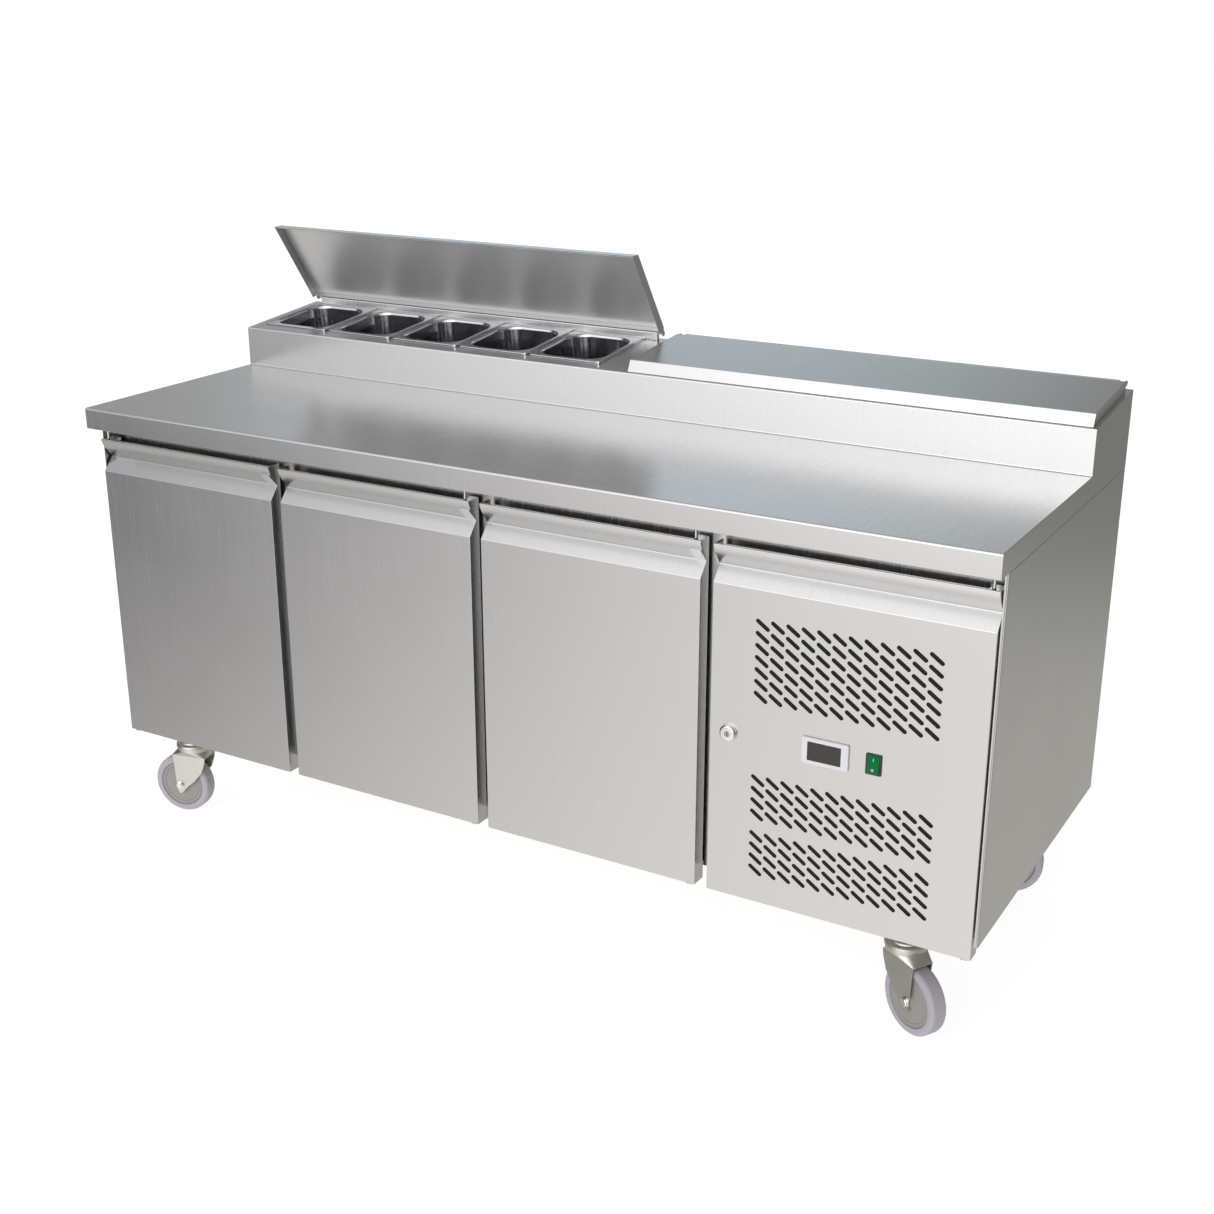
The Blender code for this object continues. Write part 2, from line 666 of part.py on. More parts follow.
def build_lock():
    """Collar fixed in the bay door, and the plug with its cam that turns inside it."""
    face = DOOR_FRONT - LOCK_PROUD
    profile = [(0.0052, LOCK_PROUD), (0.0120, LOCK_PROUD), (LOCK_R, LOCK_PROUD - 0.0025), (LOCK_R, GAP),
               (0.0090, GAP), (0.0090, -0.030), (0.0052, -0.030)]
    profile.append(profile[0])
    collar = turned("lock_collar", profile, 24)
    place = Matrix.Translation((LOCK_X, DOOR_FRONT, LOCK_Z)) @ Matrix.Rotation(math.pi / 2, 4, "X")
    move(collar, place)
    finish(collar, "lock_collar", CHROME, (LOCK_X, DOOR_FRONT, LOCK_Z), True)
    plug = rod("plug", (LOCK_X, face + 0.0005, LOCK_Z), (LOCK_X, -0.2610, LOCK_Z), 0.0049, 20)
    cam = block("cam", (LOCK_X - 0.0045, -0.2640, LOCK_Z - CAM_LENGTH),
                (LOCK_X + 0.0045, -0.2611, LOCK_Z + 0.0045))
    join(plug, cam)
    slot = block("slot", (LOCK_X - 0.0006, face - 0.002, LOCK_Z - 0.0036),
                 (LOCK_X + 0.0006, face + 0.0040, LOCK_Z + 0.0036))
    cut(plug, slot)
    finish(plug, "lock_barrel", CHROME, (LOCK_X, DOOR_FRONT, LOCK_Z))


def build_controller():
    face = DOOR_FRONT - CONTROL_PROUD
    bezel = outline("bezel", [rounded(*CONTROL_X, *CONTROL_Z, 0.003, 2)], face, DOOR_FRONT - GAP, "y")
    bevel(bezel, 0.0008, 1, 60.0)
    body = block("body", (CONTROL_X[0] + 0.005, DOOR_FRONT - 0.001, CONTROL_Z[0] + 0.006),
                 (CONTROL_X[1] - 0.005, DOOR_BACK - 0.002, CONTROL_Z[1] - 0.006))
    join(bezel, body)
    window = outline("window", [rounded(*SCREEN_X, *SCREEN_Z, 0.002, 1)], face - 0.002,
                     face + SCREEN_DEEP, "y")
    cut(bezel, window)
    finish(bezel, "controller_bezel", WHITE)
    loop = rounded(SCREEN_X[0] + GAP, SCREEN_X[1] - GAP, SCREEN_Z[0] + GAP, SCREEN_Z[1] - GAP, 0.002, 1)
    screen = outline("screen", [loop], face + GAP, face + SCREEN_DEEP - 0.0002, "y")
    finish(screen, "controller_screen", SCREEN)


def build_switch():
    face = DOOR_FRONT - SWITCH_PROUD
    half_w, half_h = SWITCH_BODY
    outer = rounded(SWITCH_X - SWITCH_W / 2, SWITCH_X + SWITCH_W / 2, SWITCH_Z - SWITCH_H / 2,
                    SWITCH_Z + SWITCH_H / 2, 0.002, 2)
    bezel = outline("bezel", [outer], face, DOOR_FRONT - GAP, "y")
    body = block("body", (SWITCH_X - half_w, DOOR_FRONT - 0.001, SWITCH_Z - half_h),
                 (SWITCH_X + half_w, DOOR_BACK - 0.004, SWITCH_Z + half_h))
    join(bezel, body)
    well = block("well", (SWITCH_X - ROCKER_W / 2 - GAP, face - 0.002, SWITCH_Z - ROCKER_H / 2 - 0.0015),
                 (SWITCH_X + ROCKER_W / 2 + GAP, ROCKER_Y + 0.010, SWITCH_Z + ROCKER_H / 2 + 0.0015))
    cut(bezel, well)
    finish(bezel, "switch_bezel", BLACK)
    half = ROCKER_H / 2
    loop = [(ROCKER_DISH, 0), (ROCKER_ENDS, -half), (0.0040, -half), (0.0060, 0), (0.0040, half),
            (ROCKER_ENDS, half)]
    rocker = outline("rocker", [loop], -ROCKER_W / 2, ROCKER_W / 2, "x")
    pivot = (SWITCH_X, ROCKER_Y, SWITCH_Z)
    move(rocker, Matrix.Translation(pivot) @ Matrix.Rotation(-ROCKER_TILT, 4, "X"))
    finish(rocker, "switch_rocker", GREEN, pivot)


# ---------------------------------------------------------------- lids and pans


def lid_axis():
    base = Vector((0, LID_Y, RISER_FRONT_Z + (LID_Y - RISER_Y) * math.tan(SLOPE)))
    local = Vector((0, LID_AXIS_S, LID_AXIS_H + LID_LIFT))
    return base + Matrix.Rotation(SLOPE, 3, "X") @ local


def build_lid(side):
    """Folded sheet lid, in a frame whose origin is its hinge axis, then turned to where it stands."""
    x0, x1 = LID_X[side]
    s0 = -LID_AXIS_S
    h0 = -LID_AXIS_H
    top = h0 + LID_THICK
    rear = s0 + LID_LENGTH
    shell = outline("lid", [[(s0, h0), (rear, h0), (rear, top), (s0 + LID_NOSE, top)]], x0, x1, "x")
    inner = [(s0 + 0.0018, h0 - 0.002), (rear - SHEET, h0 - 0.002), (rear - SHEET, top - SHEET),
             (s0 + LID_NOSE + 0.0012, top - SHEET), (s0 + 0.0018, h0)]
    hollow = outline("hollow", [inner], x0 + SHEET, x1 - SHEET, "x")
    notch = block("notch", (x0 + SHEET, rear - 0.005, h0 - 0.002),
                  (x1 - SHEET, rear + 0.002, top - LID_FLANGE))
    cut(shell, hollow, notch)
    ears = []
    for wall, inward in ((x0 + SHEET, 1), (x1 - SHEET, -1)):
        a = wall - inward * OVERLAP
        b = wall + inward * 0.0020
        arc = circle(0, 0, RAIL_R, 16)
        loop = [p for p in arc if p[0] >= -1e-9]
        loop = sorted(loop, key=lambda p: math.atan2(p[1], p[0]))
        loop += [(rear - 0.006, RAIL_R), (rear - 0.006, -RAIL_R)]
        ears.append(outline("ear", [loop], min(a, b), max(a, b), "x"))
        end = wall + inward * (RAIL_INSET + 0.006)
        ears.append(rod("pin", (wall + inward * 0.001, 0, 0), (end, 0, 0), RAIL_PIN_R, 12))
    join(shell, *ears)
    shell = finish(shell, f"lid_{side}", STEEL)
    axis = lid_axis()
    middle = Matrix.Translation((-(x0 + x1) / 2, 0, 0))
    shell.data.transform(middle)
    shell.location = ((x0 + x1) / 2, axis.y, axis.z)
    shell.rotation_euler = (SLOPE - (LID_OPEN if side == "left" else 0.0), 0, 0)
    return shell


def build_rail(side):
    x0 = LID_X[side][0] + SHEET + RAIL_INSET
    x1 = LID_X[side][1] - SHEET - RAIL_INSET
    axis = lid_axis()
    arc = [p for p in circle(axis.y, axis.z, RAIL_R, 16) if p[1] >= axis.z - 1e-9]
    arc = sorted(arc, key=lambda p: p[0])

    def foot(y):
        return y, RISER_FRONT_Z + (y - RISER_Y) * math.tan(SLOPE) + GAP

    loop = arc + [foot(axis.y + RAIL_R), foot(axis.y - RAIL_R)]
    rail = outline("rail", [loop], x0, x1, "x")
    ends = [rod("bore", (x - 0.009, axis.y, axis.z), (x + 0.009, axis.y, axis.z), RAIL_BORE_R, 12)
            for x in (x0, x1)]
    return finish(cut(rail, *ends), f"lid_rail_{side}", STEEL)


def bowl(name, width, length, depth, corner, floor_round):
    """Tapered bowl with rounded upright edges, its mouth at z = 0."""
    bm = bmesh.new()
    bmesh.ops.create_cube(bm, size=1.0)
    bmesh.ops.scale(bm, vec=(width, length, depth), verts=bm.verts)
    bmesh.ops.translate(bm, vec=(0, 0, -depth / 2), verts=bm.verts)
    upright = [e for e in bm.edges if abs(e.verts[0].co.z - e.verts[1].co.z) > depth / 2]
    bmesh.ops.bevel(bm, geom=upright, offset=corner, segments=4, profile=0.5, affect="EDGES")
    low = [v for v in bm.verts if v.co.z < -depth / 2]
    bmesh.ops.scale(bm, vec=(0.90, 0.91, 1.0), verts=low)
    floor_edges = [e for e in bm.edges if all(v.co.z < -depth + 1e-5 for v in e.verts)]
    bmesh.ops.bevel(bm, geom=floor_edges, offset=floor_round, segments=1, affect="EDGES")
    return from_bmesh(name, bm, CUTTERS)


def build_pans():
    width = PAN_WIDTH - 2 * RIM_WIDTH
    length = PAN_LENGTH - 2 * RIM_WIDTH
    wall = 0.0012
    edge = rounded(-PAN_WIDTH / 2, PAN_WIDTH / 2, -PAN_LENGTH / 2, PAN_LENGTH / 2, 0.008, 2)
    rim = outline("rim", [edge], GAP, GAP + RIM_THICK, "z")
    outer = bowl("outer", width + 2 * wall, length + 2 * wall, PAN_DEPTH, 0.040, 0.012)
    move(outer, Matrix.Translation((0, 0, GAP + 0.001)))
    inner = bowl("inner", width, length, PAN_DEPTH - wall + 0.004, 0.0388, 0.0115)
    move(inner, Matrix.Translation((0, 0, GAP + 0.005)))
    join(rim, outer)
    cut(rim, inner)
    first = None
    number = 0
    for side in ("left", "right"):
        for step in range(PAN_COUNT):
            number += 1
            name = f"pan_{number}"
            if first is None:
                obj = finish(rim, name, PAN, (0, 0, 0), True)
                first = obj
            else:
                obj = bpy.data.objects.new(name, first.data)
                PARTS.objects.link(obj)
            x = PAN_ROW_X[side] + step * PAN_PITCH + PAN_WIDTH / 2
            spot = slope_frame() @ Vector((x, PAN_S + PAN_LENGTH / 2, 0))
            obj.location = spot
            obj.rotation_euler = (SLOPE, 0, 0)


# ---------------------------------------------------------------- castors


def build_castor(place, spot, heading):
    """Mount, fork, hub and tyre. In the local frame the wheel trails along +X."""
    sx, sy = spot
    stand = Matrix.Translation((sx, sy, 0)) @ Matrix.Rotation(heading, 4, "Z")
    axle_x = TRAIL

    half = MOUNT_HALF
    plate = outline("mount", [rounded(-half, half, -half, half, 0.012, 2)],
                    CASE_BOTTOM - GAP - MOUNT_THICK, CASE_BOTTOM - GAP, "z")
    stem = turned("stem", STEM, 16)
    join(plate, stem)
    move(plate, Matrix.Translation((sx, sy, 0)))
    finish(plate, f"castor_{place}_mount", ZINC, (sx, sy, CASE_BOTTOM), True)

    race = turned("race", RACE, 16)
    x0, x1 = CROWN_X
    square = [(x0, -CROWN_HALF), (x1, -CROWN_HALF), (x1, CROWN_HALF), (x0, CROWN_HALF)]
    crown = outline("crown", [square], *CROWN_Z, "z")
    hole = rod("hole", (0, 0, 0.12), (0, 0, 0.17), STEM_BORE_R, 16)
    legs = []
    for side in (-1, 1):
        low, high = sorted(side * y for y in LEG_Y)
        legs.append(outline("leg", [LEG], low, high, "y"))
    axle = rod("axle", (axle_x, -AXLE_HALF, TYRE_R), (axle_x, AXLE_HALF, TYRE_R), AXLE_R, 16)
    heads = [rod("head", (axle_x, s * HEAD_Y[0], TYRE_R), (axle_x, s * HEAD_Y[1], TYRE_R), HEAD_R, 6)
             for s in (-1, 1)]
    join(crown, race, *legs, axle, *heads)
    cut(crown, hole)
    move(crown, stand)
    finish(crown, f"castor_{place}_fork", ZINC, (sx, sy, CROWN_Z[1]))

    lay = stand @ Matrix.Translation((axle_x, 0, TYRE_R)) @ Matrix.Rotation(math.pi / 2, 4, "X")
    centre = lay.to_translation()
    bore = AXLE_R + 0.0001
    hub = turned("hub", [(bore, 0.0180), (0.0110, 0.0180), (0.0140, 0.0140), (HUB_R, 0.0140),
                         (HUB_R, -0.0140), (0.0140, -0.0140), (0.0110, -0.0180), (bore, -0.0180),
                         (bore, 0.0180)], WHEEL_SIDES)
    move(hub, lay)
    finish(hub, f"castor_{place}_hub", GREY, centre, True)
    rim = HUB_R + GAP
    shoulder = TYRE_R - 0.0040
    tread = TYRE_HALF - 0.0050
    tyre = turned("tyre", [(rim, TYRE_HALF), (shoulder, TYRE_HALF), (TYRE_R, tread), (TYRE_R, -tread),
                           (shoulder, -TYRE_HALF), (rim, -TYRE_HALF), (rim, TYRE_HALF)], WHEEL_SIDES)
    move(tyre, lay)
    finish(tyre, f"castor_{place}_tyre", TYRE, centre, True)


# ---------------------------------------------------------------- refrigeration


def fan(name, radius, hub_r, blades, depth):
    """Axial fan turned about Z: a hub with leaning flat blades."""
    hub = rod("hub", (0, 0, -depth / 2), (0, 0, depth / 2), hub_r, 16)
    wings = []
    for step in range(blades):
        wing = block("wing", (-0.30 * radius, hub_r * 0.6, -0.0012), (0.30 * radius, radius, 0.0012))
        lean = Matrix.Rotation(BLADE_LEAN, 4, "Y")
        wings.append(move(wing, Matrix.Rotation(2 * math.pi * step / blades, 4, "Z") @ lean))
    join(hub, *wings)
    hub.name = name
    return hub


def build_evaporator():
    x0, x1 = COIL_X
    pack = block("coil", (x0, COIL_Y[0], COIL_Z[0]), (x1, COIL_Y[1], COIL_Z[1]))
    grooves = []
    for step in range(9):
        y = COIL_Y[0] + 0.030 + step * 0.030
        grooves.append(block("groove", (x0 - 0.01, y - 0.004, COIL_Z[0] + 0.012),
                             (x1 - 0.012, y + 0.004, COIL_Z[1] - 0.012)))
    finish(cut(pack, *grooves), "evaporator", ALUMINIUM)

    y_mid = (COIL_Y[0] + COIL_Y[1]) / 2
    z_mid = (COIL_Z[0] + COIL_Z[1]) / 2
    ring = circle(y_mid, z_mid, FAN_R + 0.004, 24)
    rect = [(COIL_Y[0], COIL_Z[0]), (COIL_Y[1], COIL_Z[0]), (COIL_Y[1], COIL_Z[1]), (COIL_Y[0], COIL_Z[1])]
    cover = outline("cover", [rect, ring], COVER_X[0], COVER_X[1] - GAP, "x")
    reach = FAN_R + 0.010
    spoke = block("spoke", (COVER_X[1] - 0.008, y_mid - reach, z_mid - 0.003),
                  (COVER_X[1] - 0.004, y_mid + reach, z_mid + 0.003))
    motor = rod("motor", (COVER_X[0] + 0.021, y_mid, z_mid), (COVER_X[1] - 0.0035, y_mid, z_mid),
                MOTOR_R, 16)
    finish(join(cover, spoke, motor), "evaporator_cover", WHITE)

    blades = fan("fan", FAN_R, FAN_HUB_R, 5, FAN_DEEP)
    x = COVER_X[0] + 0.0125
    move(blades, Matrix.Translation((x, y_mid, z_mid)) @ Matrix.Rotation(math.pi / 2, 4, "Y"))
    finish(blades, "evaporator_fan", BLACK, (x, y_mid, z_mid))


def build_condensing_unit():
    cx, cy = COMPRESSOR_XY
    floor = CASE_BOTTOM + BAY_FLOOR + GAP
    r = COMPRESSOR_R
    pot = turned("pot", [(0, floor + 0.190), (0.45 * r, floor + 0.186), (0.80 * r, floor + 0.170),
                         (r, floor + 0.135), (r, floor + 0.060), (0.85 * r, floor + 0.030),
                         (0.50 * r, floor + 0.018), (0, floor + 0.018)], 24)
    foot = outline("foot", [rounded(-0.095, 0.095, -0.055, 0.055, 0.012, 1)], floor, floor + 0.022, "z")
    join(pot, foot)
    move(pot, Matrix.Translation((cx, cy, 0)))
    finish(pot, "compressor", ENAMEL, (cx, cy, floor), True)

    x0, x1 = CONDENSER_X
    y0, y1 = CONDENSER_Y
    z0, z1 = CONDENSER_Z
    pack = block("pack", (x0, y0, z0), (x1, y1, z1))
    grooves = [block("groove", (x0 + 0.024 + step * 0.0265, y0 - 0.01, z0 + 0.014),
                     (x0 + 0.034 + step * 0.0265, y1 - 0.010, z1 - 0.014)) for step in range(10)]
    cut(pack, *grooves)
    x_mid = (x0 + x1) / 2
    z_mid = (z0 + z1) / 2
    rect = [(x0, z0), (x1, z0), (x1, z1), (x0, z1)]
    shroud = outline("shroud", [rect, circle(x_mid, z_mid, CONDENSER_FAN_R + 0.005, 24)],
                     y1 - OVERLAP, y1 + SHROUD_DEEP, "y")
    motor = rod("motor", (x_mid, y1 - OVERLAP, z_mid), (x_mid, y1 + 0.010, z_mid), CONDENSER_HUB_R, 16)
    join(pack, shroud, motor)
    finish(pack, "condenser", ALUMINIUM)
    blades = fan("fan", CONDENSER_FAN_R, CONDENSER_HUB_R, 4, CONDENSER_FAN_DEEP)
    y = y1 + 0.0195
    move(blades, Matrix.Translation((x_mid, y, z_mid)) @ Matrix.Rotation(math.pi / 2, 4, "X"))
    finish(blades, "condenser_fan", BLACK, (x_mid, y, z_mid))


clear_scene()
PARTS = new_collection("sandwich_prep_table")
CUTTERS = new_collection("cutters")
CUTTERS.hide_render = True

STEEL = material("brushed_steel", (0.60, 0.60, 0.60), 0.30, 1.0)
LINER = material("liner_steel", (0.62, 0.62, 0.61), 0.35, 1.0)
PAN = material("pan_steel", (0.55, 0.55, 0.57), 0.12, 1.0)
CHROME = material("chrome", (0.75, 0.75, 0.76), 0.10, 1.0)
ZINC = material("zinc_plate", (0.55, 0.54, 0.51), 0.28, 1.0)
ALUMINIUM = material("aluminium_fins", (0.70, 0.70, 0.71), 0.40, 1.0)
WIRE = material("shelf_wire", (0.66, 0.66, 0.66), 0.30, 1.0)
RUBBER = material("gasket_rubber", (0.05, 0.05, 0.05), 0.80, 0.0)
TYRE = material("grey_tyre", (0.42, 0.40, 0.44), 0.60, 0.0)
GREY = material("hub_plastic", (0.33, 0.34, 0.32), 0.50, 0.0)
WHITE = material("white_plastic", (0.85, 0.85, 0.85), 0.35, 0.0)
SCREEN = material("display_window", (0.035, 0.030, 0.030), 0.15, 0.0)
BLACK = material("black_plastic", (0.02, 0.02, 0.02), 0.45, 0.0)
ENAMEL = material("black_enamel", (0.015, 0.015, 0.016), 0.30, 0.0)
GREEN = material("green_rocker", (0.0, 0.20, 0.035), 0.25, 0.0)

build_worktop()
build_riser()
build_side("side_panel_left", -1, HEM_LEFT)
build_side("side_panel_right", 1, HEM_RIGHT)
build_back()
build_bottom()
build_bulkhead()
build_frame()
for number in range(3):
    build_shelf(number)
    build_door(number)
    build_gasket(number)
build_bay_door()
build_lock()
build_controller()
build_switch()
for row in ("left", "right"):
    build_lid(row)
    build_rail(row)
build_pans()
for corner, (axis_xy, trail_angle) in CASTORS.items():
    build_castor(corner, axis_xy, trail_angle)
build_evaporator()
build_condensing_unit()
for piece in PARTS.objects:
    piece.location.x += ORIGIN_X
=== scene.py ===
"""Looks of the refrigerated sandwich prep table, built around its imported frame.

Lengths are metres, the front is -Y and the floor is z = 0. Every piece takes its place from a node's
box, or from a joint of the record, and rides on that node's body."""

import json
import math

import bmesh
import bpy
from mathutils import Matrix, Vector


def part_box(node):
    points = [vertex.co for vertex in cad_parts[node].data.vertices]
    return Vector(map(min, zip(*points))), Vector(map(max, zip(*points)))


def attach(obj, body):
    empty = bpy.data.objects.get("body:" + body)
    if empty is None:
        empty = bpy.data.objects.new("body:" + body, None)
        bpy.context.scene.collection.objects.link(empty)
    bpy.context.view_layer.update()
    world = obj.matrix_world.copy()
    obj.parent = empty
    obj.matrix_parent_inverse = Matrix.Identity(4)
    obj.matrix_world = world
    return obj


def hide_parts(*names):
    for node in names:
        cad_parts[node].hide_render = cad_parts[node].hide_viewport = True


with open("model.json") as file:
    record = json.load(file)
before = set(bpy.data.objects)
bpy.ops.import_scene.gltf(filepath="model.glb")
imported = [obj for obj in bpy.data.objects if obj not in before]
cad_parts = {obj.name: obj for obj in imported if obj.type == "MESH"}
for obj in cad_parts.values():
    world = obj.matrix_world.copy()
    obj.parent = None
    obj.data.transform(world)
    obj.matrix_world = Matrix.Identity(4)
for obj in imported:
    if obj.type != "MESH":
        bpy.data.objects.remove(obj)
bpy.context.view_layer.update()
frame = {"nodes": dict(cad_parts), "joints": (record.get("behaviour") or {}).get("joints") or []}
JOINTS = {joint["name"]: joint for joint in frame["joints"]}

GAP = 0.0003
SHEET = 0.0012
SMOOTH_ANGLE = math.radians(33)

# Slope of the pan upstand, from the way that the pans lift
LIFT = Vector(JOINTS["pan_1_lift"]["axis"])
SLOPE = math.atan2(-LIFT.y, LIFT.z)


# ================================================================ mesh building


class Shape:
    """A mesh under construction. Each call adds one closed shell and returns the shape."""

    def __init__(self):
        self.mesh = bmesh.new()

    def add(self, part, matrix=None):
        part.normal_update()
        bmesh.ops.recalc_face_normals(part, faces=part.faces)
        if matrix is not None:
            bmesh.ops.transform(part, matrix=matrix, verts=part.verts)
        shell = bpy.data.meshes.new("shell")
        part.to_mesh(shell)
        part.free()
        self.mesh.from_mesh(shell)
        bpy.data.meshes.remove(shell)
        return self

    def block(self, low, high, edge=0.0, matrix=None):
        """Box between two corners, all its edges rounded."""
        part = bmesh.new()
        bmesh.ops.create_cube(part, size=1.0)
        low, high = Vector(low), Vector(high)
        bmesh.ops.scale(part, vec=high - low, verts=part.verts)
        bmesh.ops.translate(part, vec=(high + low) / 2, verts=part.verts)
        if edge:
            bmesh.ops.bevel(part, geom=part.edges[:], offset=edge, segments=2, profile=0.5,
                            affect="EDGES", clamp_overlap=True)
        return self.add(part, matrix)

    def lathe(self, profile, sides=32, matrix=None, ring=False):
        """Profile of (radius, height) pairs turned about Z; a ring's profile is closed on itself."""
        part = bmesh.new()
        verts = [part.verts.new((radius, 0, z)) for radius, z in profile]
        pairs = list(zip(verts, verts[1:]))
        if ring:
            pairs.append((verts[-1], verts[0]))
        edges = [part.edges.new(pair) for pair in pairs]
        bmesh.ops.spin(part, geom=verts + edges, cent=(0, 0, 0), axis=(0, 0, 1),
                       angle=math.tau, steps=sides)
        bmesh.ops.remove_doubles(part, verts=part.verts, dist=1e-6)
        return self.add(part, matrix)

    def rod(self, start, end, radius, sides=20, edge=0.0, matrix=None):
        """Round bar between two points, its end edges rounded."""
        start, end = Vector(start), Vector(end)
        run = end - start
        turn = Vector((0, 0, 1)).rotation_difference(run.normalized()).to_matrix().to_4x4()
        place = Matrix.Translation(start) @ turn
        length = run.length
        profile = [(0, 0), (radius - edge, 0), (radius, edge), (radius, length - edge),
                   (radius - edge, length), (0, length)]
        if not edge:
            profile = [(0, 0), (radius, 0), (radius, length), (0, length)]
        return self.lathe(profile, sides, place if matrix is None else matrix @ place)

    def prism(self, loops, low, high, axis, edge=0.0, matrix=None):
        """Flat outlines, holes included, extruded along x from (y, z), y from (x, z) or z from (x, y)."""
        curve = bpy.data.curves.new("outline", "CURVE")
        curve.dimensions = "2D"
        curve.fill_mode = "BOTH"
        curve.extrude = (high - low) / 2 - edge
        curve.bevel_depth = edge
        curve.offset = -edge
        curve.bevel_resolution = 1
        for loop in loops:
            spline = curve.splines.new("POLY")
            spline.points.add(len(loop) - 1)
            for point, (u, v) in zip(spline.points, loop):
                point.co = (u, v, 0, 1)
            spline.use_cyclic_u = True
        part = curve_mesh(curve)
        middle = (high + low) / 2
        shift = {"x": (middle, 0, 0), "y": (0, middle, 0), "z": (0, 0, middle)}[axis]
        place = Matrix.Translation(shift) @ AXES[axis]
        return self.add(part, place if matrix is None else matrix @ place)

    def pipe(self, points, radius, matrix=None, closed=False, resolution=3):
        """Round wire or tube along a run of points, its ends capped."""
        curve = bpy.data.curves.new("run", "CURVE")
        curve.dimensions = "3D"
        curve.bevel_depth = radius
        curve.bevel_resolution = resolution
        curve.use_fill_caps = True
        spline = curve.splines.new("POLY")
        spline.points.add(len(points) - 1)
        for point, place in zip(spline.points, points):
            point.co = (*place, 1)
        spline.use_cyclic_u = closed
        return self.add(curve_mesh(curve), matrix)

    def loft(self, rings, matrix=None, closed=False):
        """Skin through rings of equally many points; open ends are capped."""
        part = bmesh.new()
        rows = [[part.verts.new(point) for point in ring] for ring in rings]
        count = len(rings[0])
        steps = list(zip(rows, rows[1:]))
        if closed:
            steps.append((rows[-1], rows[0]))
        for below, above in steps:
            for i in range(count):
                j = (i + 1) % count
                part.faces.new((below[i], below[j], above[j], above[i]))
        if not closed:
            part.faces.new(rows[0])
            part.faces.new(rows[-1])
        return self.add(part, matrix)

    def cut(self, tool):
        """Take another shape away from this one."""
        target, cutter = scratch(self), scratch(tool)
        modifier = target.modifiers.new("Cut", "BOOLEAN")
        modifier.operation = "DIFFERENCE"
        modifier.solver = "EXACT"
        modifier.object = cutter
        result = evaluated_mesh(target)
        self.mesh = bmesh.new()
        self.mesh.from_mesh(result)
        bmesh.ops.remove_doubles(self.mesh, verts=self.mesh.verts, dist=1e-6)
        for obj in (target, cutter):
            bpy.data.objects.remove(obj, do_unlink=True)
        bpy.data.meshes.remove(result)
        return self


AXES = {
    "x": Matrix(((0, 0, 1, 0), (1, 0, 0, 0), (0, 1, 0, 0), (0, 0, 0, 1))),
    "y": Matrix(((1, 0, 0, 0), (0, 0, -1, 0), (0, 1, 0, 0), (0, 0, 0, 1))),
    "z": Matrix.Identity(4),
}


def evaluated_mesh(obj):
    bpy.context.view_layer.update()
    graph = bpy.context.evaluated_depsgraph_get()
    return bpy.data.meshes.new_from_object(obj.evaluated_get(graph))


def curve_mesh(curve):
    """The closed mesh that a curve draws, as a bmesh."""
    obj = bpy.data.objects.new("curve", curve)
    bpy.context.scene.collection.objects.link(obj)
    mesh = evaluated_mesh(obj)
    bpy.data.objects.remove(obj, do_unlink=True)
    bpy.data.curves.remove(curve)
    part = bmesh.new()
    part.from_mesh(mesh)
    bpy.data.meshes.remove(mesh)
    bmesh.ops.remove_doubles(part, verts=part.verts, dist=1e-6)
    return part


def scratch(shape):
    """A shape as an object that is about to be thrown away."""
    mesh = bpy.data.meshes.new("scratch")
    shape.mesh.to_mesh(mesh)
    shape.mesh.free()
    obj = bpy.data.objects.new("scratch", mesh)
    bpy.context.scene.collection.objects.link(obj)
    return obj


def instance(name, mesh):
    """Object in the scene that shows a mesh with its flat faces shaded flat."""
    obj = bpy.data.objects.new(name, mesh)
    bpy.context.scene.collection.objects.link(obj)
    weighted = obj.modifiers.new("Flat faces", "WEIGHTED_NORMAL")
    weighted.keep_sharp = True
    return obj


def piece(name, shape, look, body, replaces=()):
    """Turn a shape into a finished piece that rides on a body of the frame."""
    mesh = bpy.data.meshes.new(name)
    shape.mesh.to_mesh(mesh)
    shape.mesh.free()
    mesh.materials.append(look)
    mesh.polygons.foreach_set("use_smooth", [True] * len(mesh.polygons))
    mesh.set_sharp_from_angle(angle=SMOOTH_ANGLE)
    obj = instance(name, mesh)
    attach(obj, body)
    if replaces:
        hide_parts(*replaces)
    return obj


def settle(obj, matrix, body):
    """Move a piece that was modelled about its own origin to its place on its body."""
    obj.parent = None
    obj.matrix_world = matrix
    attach(obj, body)


def disc(radius, low, high):
    """Lathe profile of a plain disc between two heights."""
    return [(0, low), (radius, low), (radius, high), (0, high)]


def inset_rings(low, high, steps, rows):
    """Rings that close in on a box's (x, z) outline, from rows of (inset, y, corner radius)."""
    rings = []
    for inset, y, radius in rows:
        loop = rounded(low.x + inset, high.x - inset, low.z + inset, high.z - inset, radius, steps)
        rings.append([(u, y, v) for u, v in loop])
    return rings


def fillet(corners, steps=4):
    """Closed outline from (u, v, radius) corners, each rounded by its own radius."""
    outline = []
    for i, (u, v, radius) in enumerate(corners):
        here = Vector((u, v))
        if radius <= 0:
            outline.append((u, v))
            continue
        before = (Vector(corners[i - 1][:2]) - here).normalized()
        after = (Vector(corners[(i + 1) % len(corners)][:2]) - here).normalized()
        half = before.angle(after) / 2
        centre = here + (before + after).normalized() * (radius / math.sin(half))
        reach = radius / math.tan(half)
        first = here + before * reach - centre
        turn = math.pi - 2 * half
        if before.cross(after) > 0:
            turn = -turn
        for step in range(steps + 1):
            a = turn * step / steps
            outline.append((centre.x + first.x * math.cos(a) - first.y * math.sin(a),
                            centre.y + first.x * math.sin(a) + first.y * math.cos(a)))
    return outline


def rounded(u0, u1, v0, v1, radius, steps=4):
    return fillet([(u0, v0, radius), (u1, v0, radius), (u1, v1, radius), (u0, v1, radius)], steps)


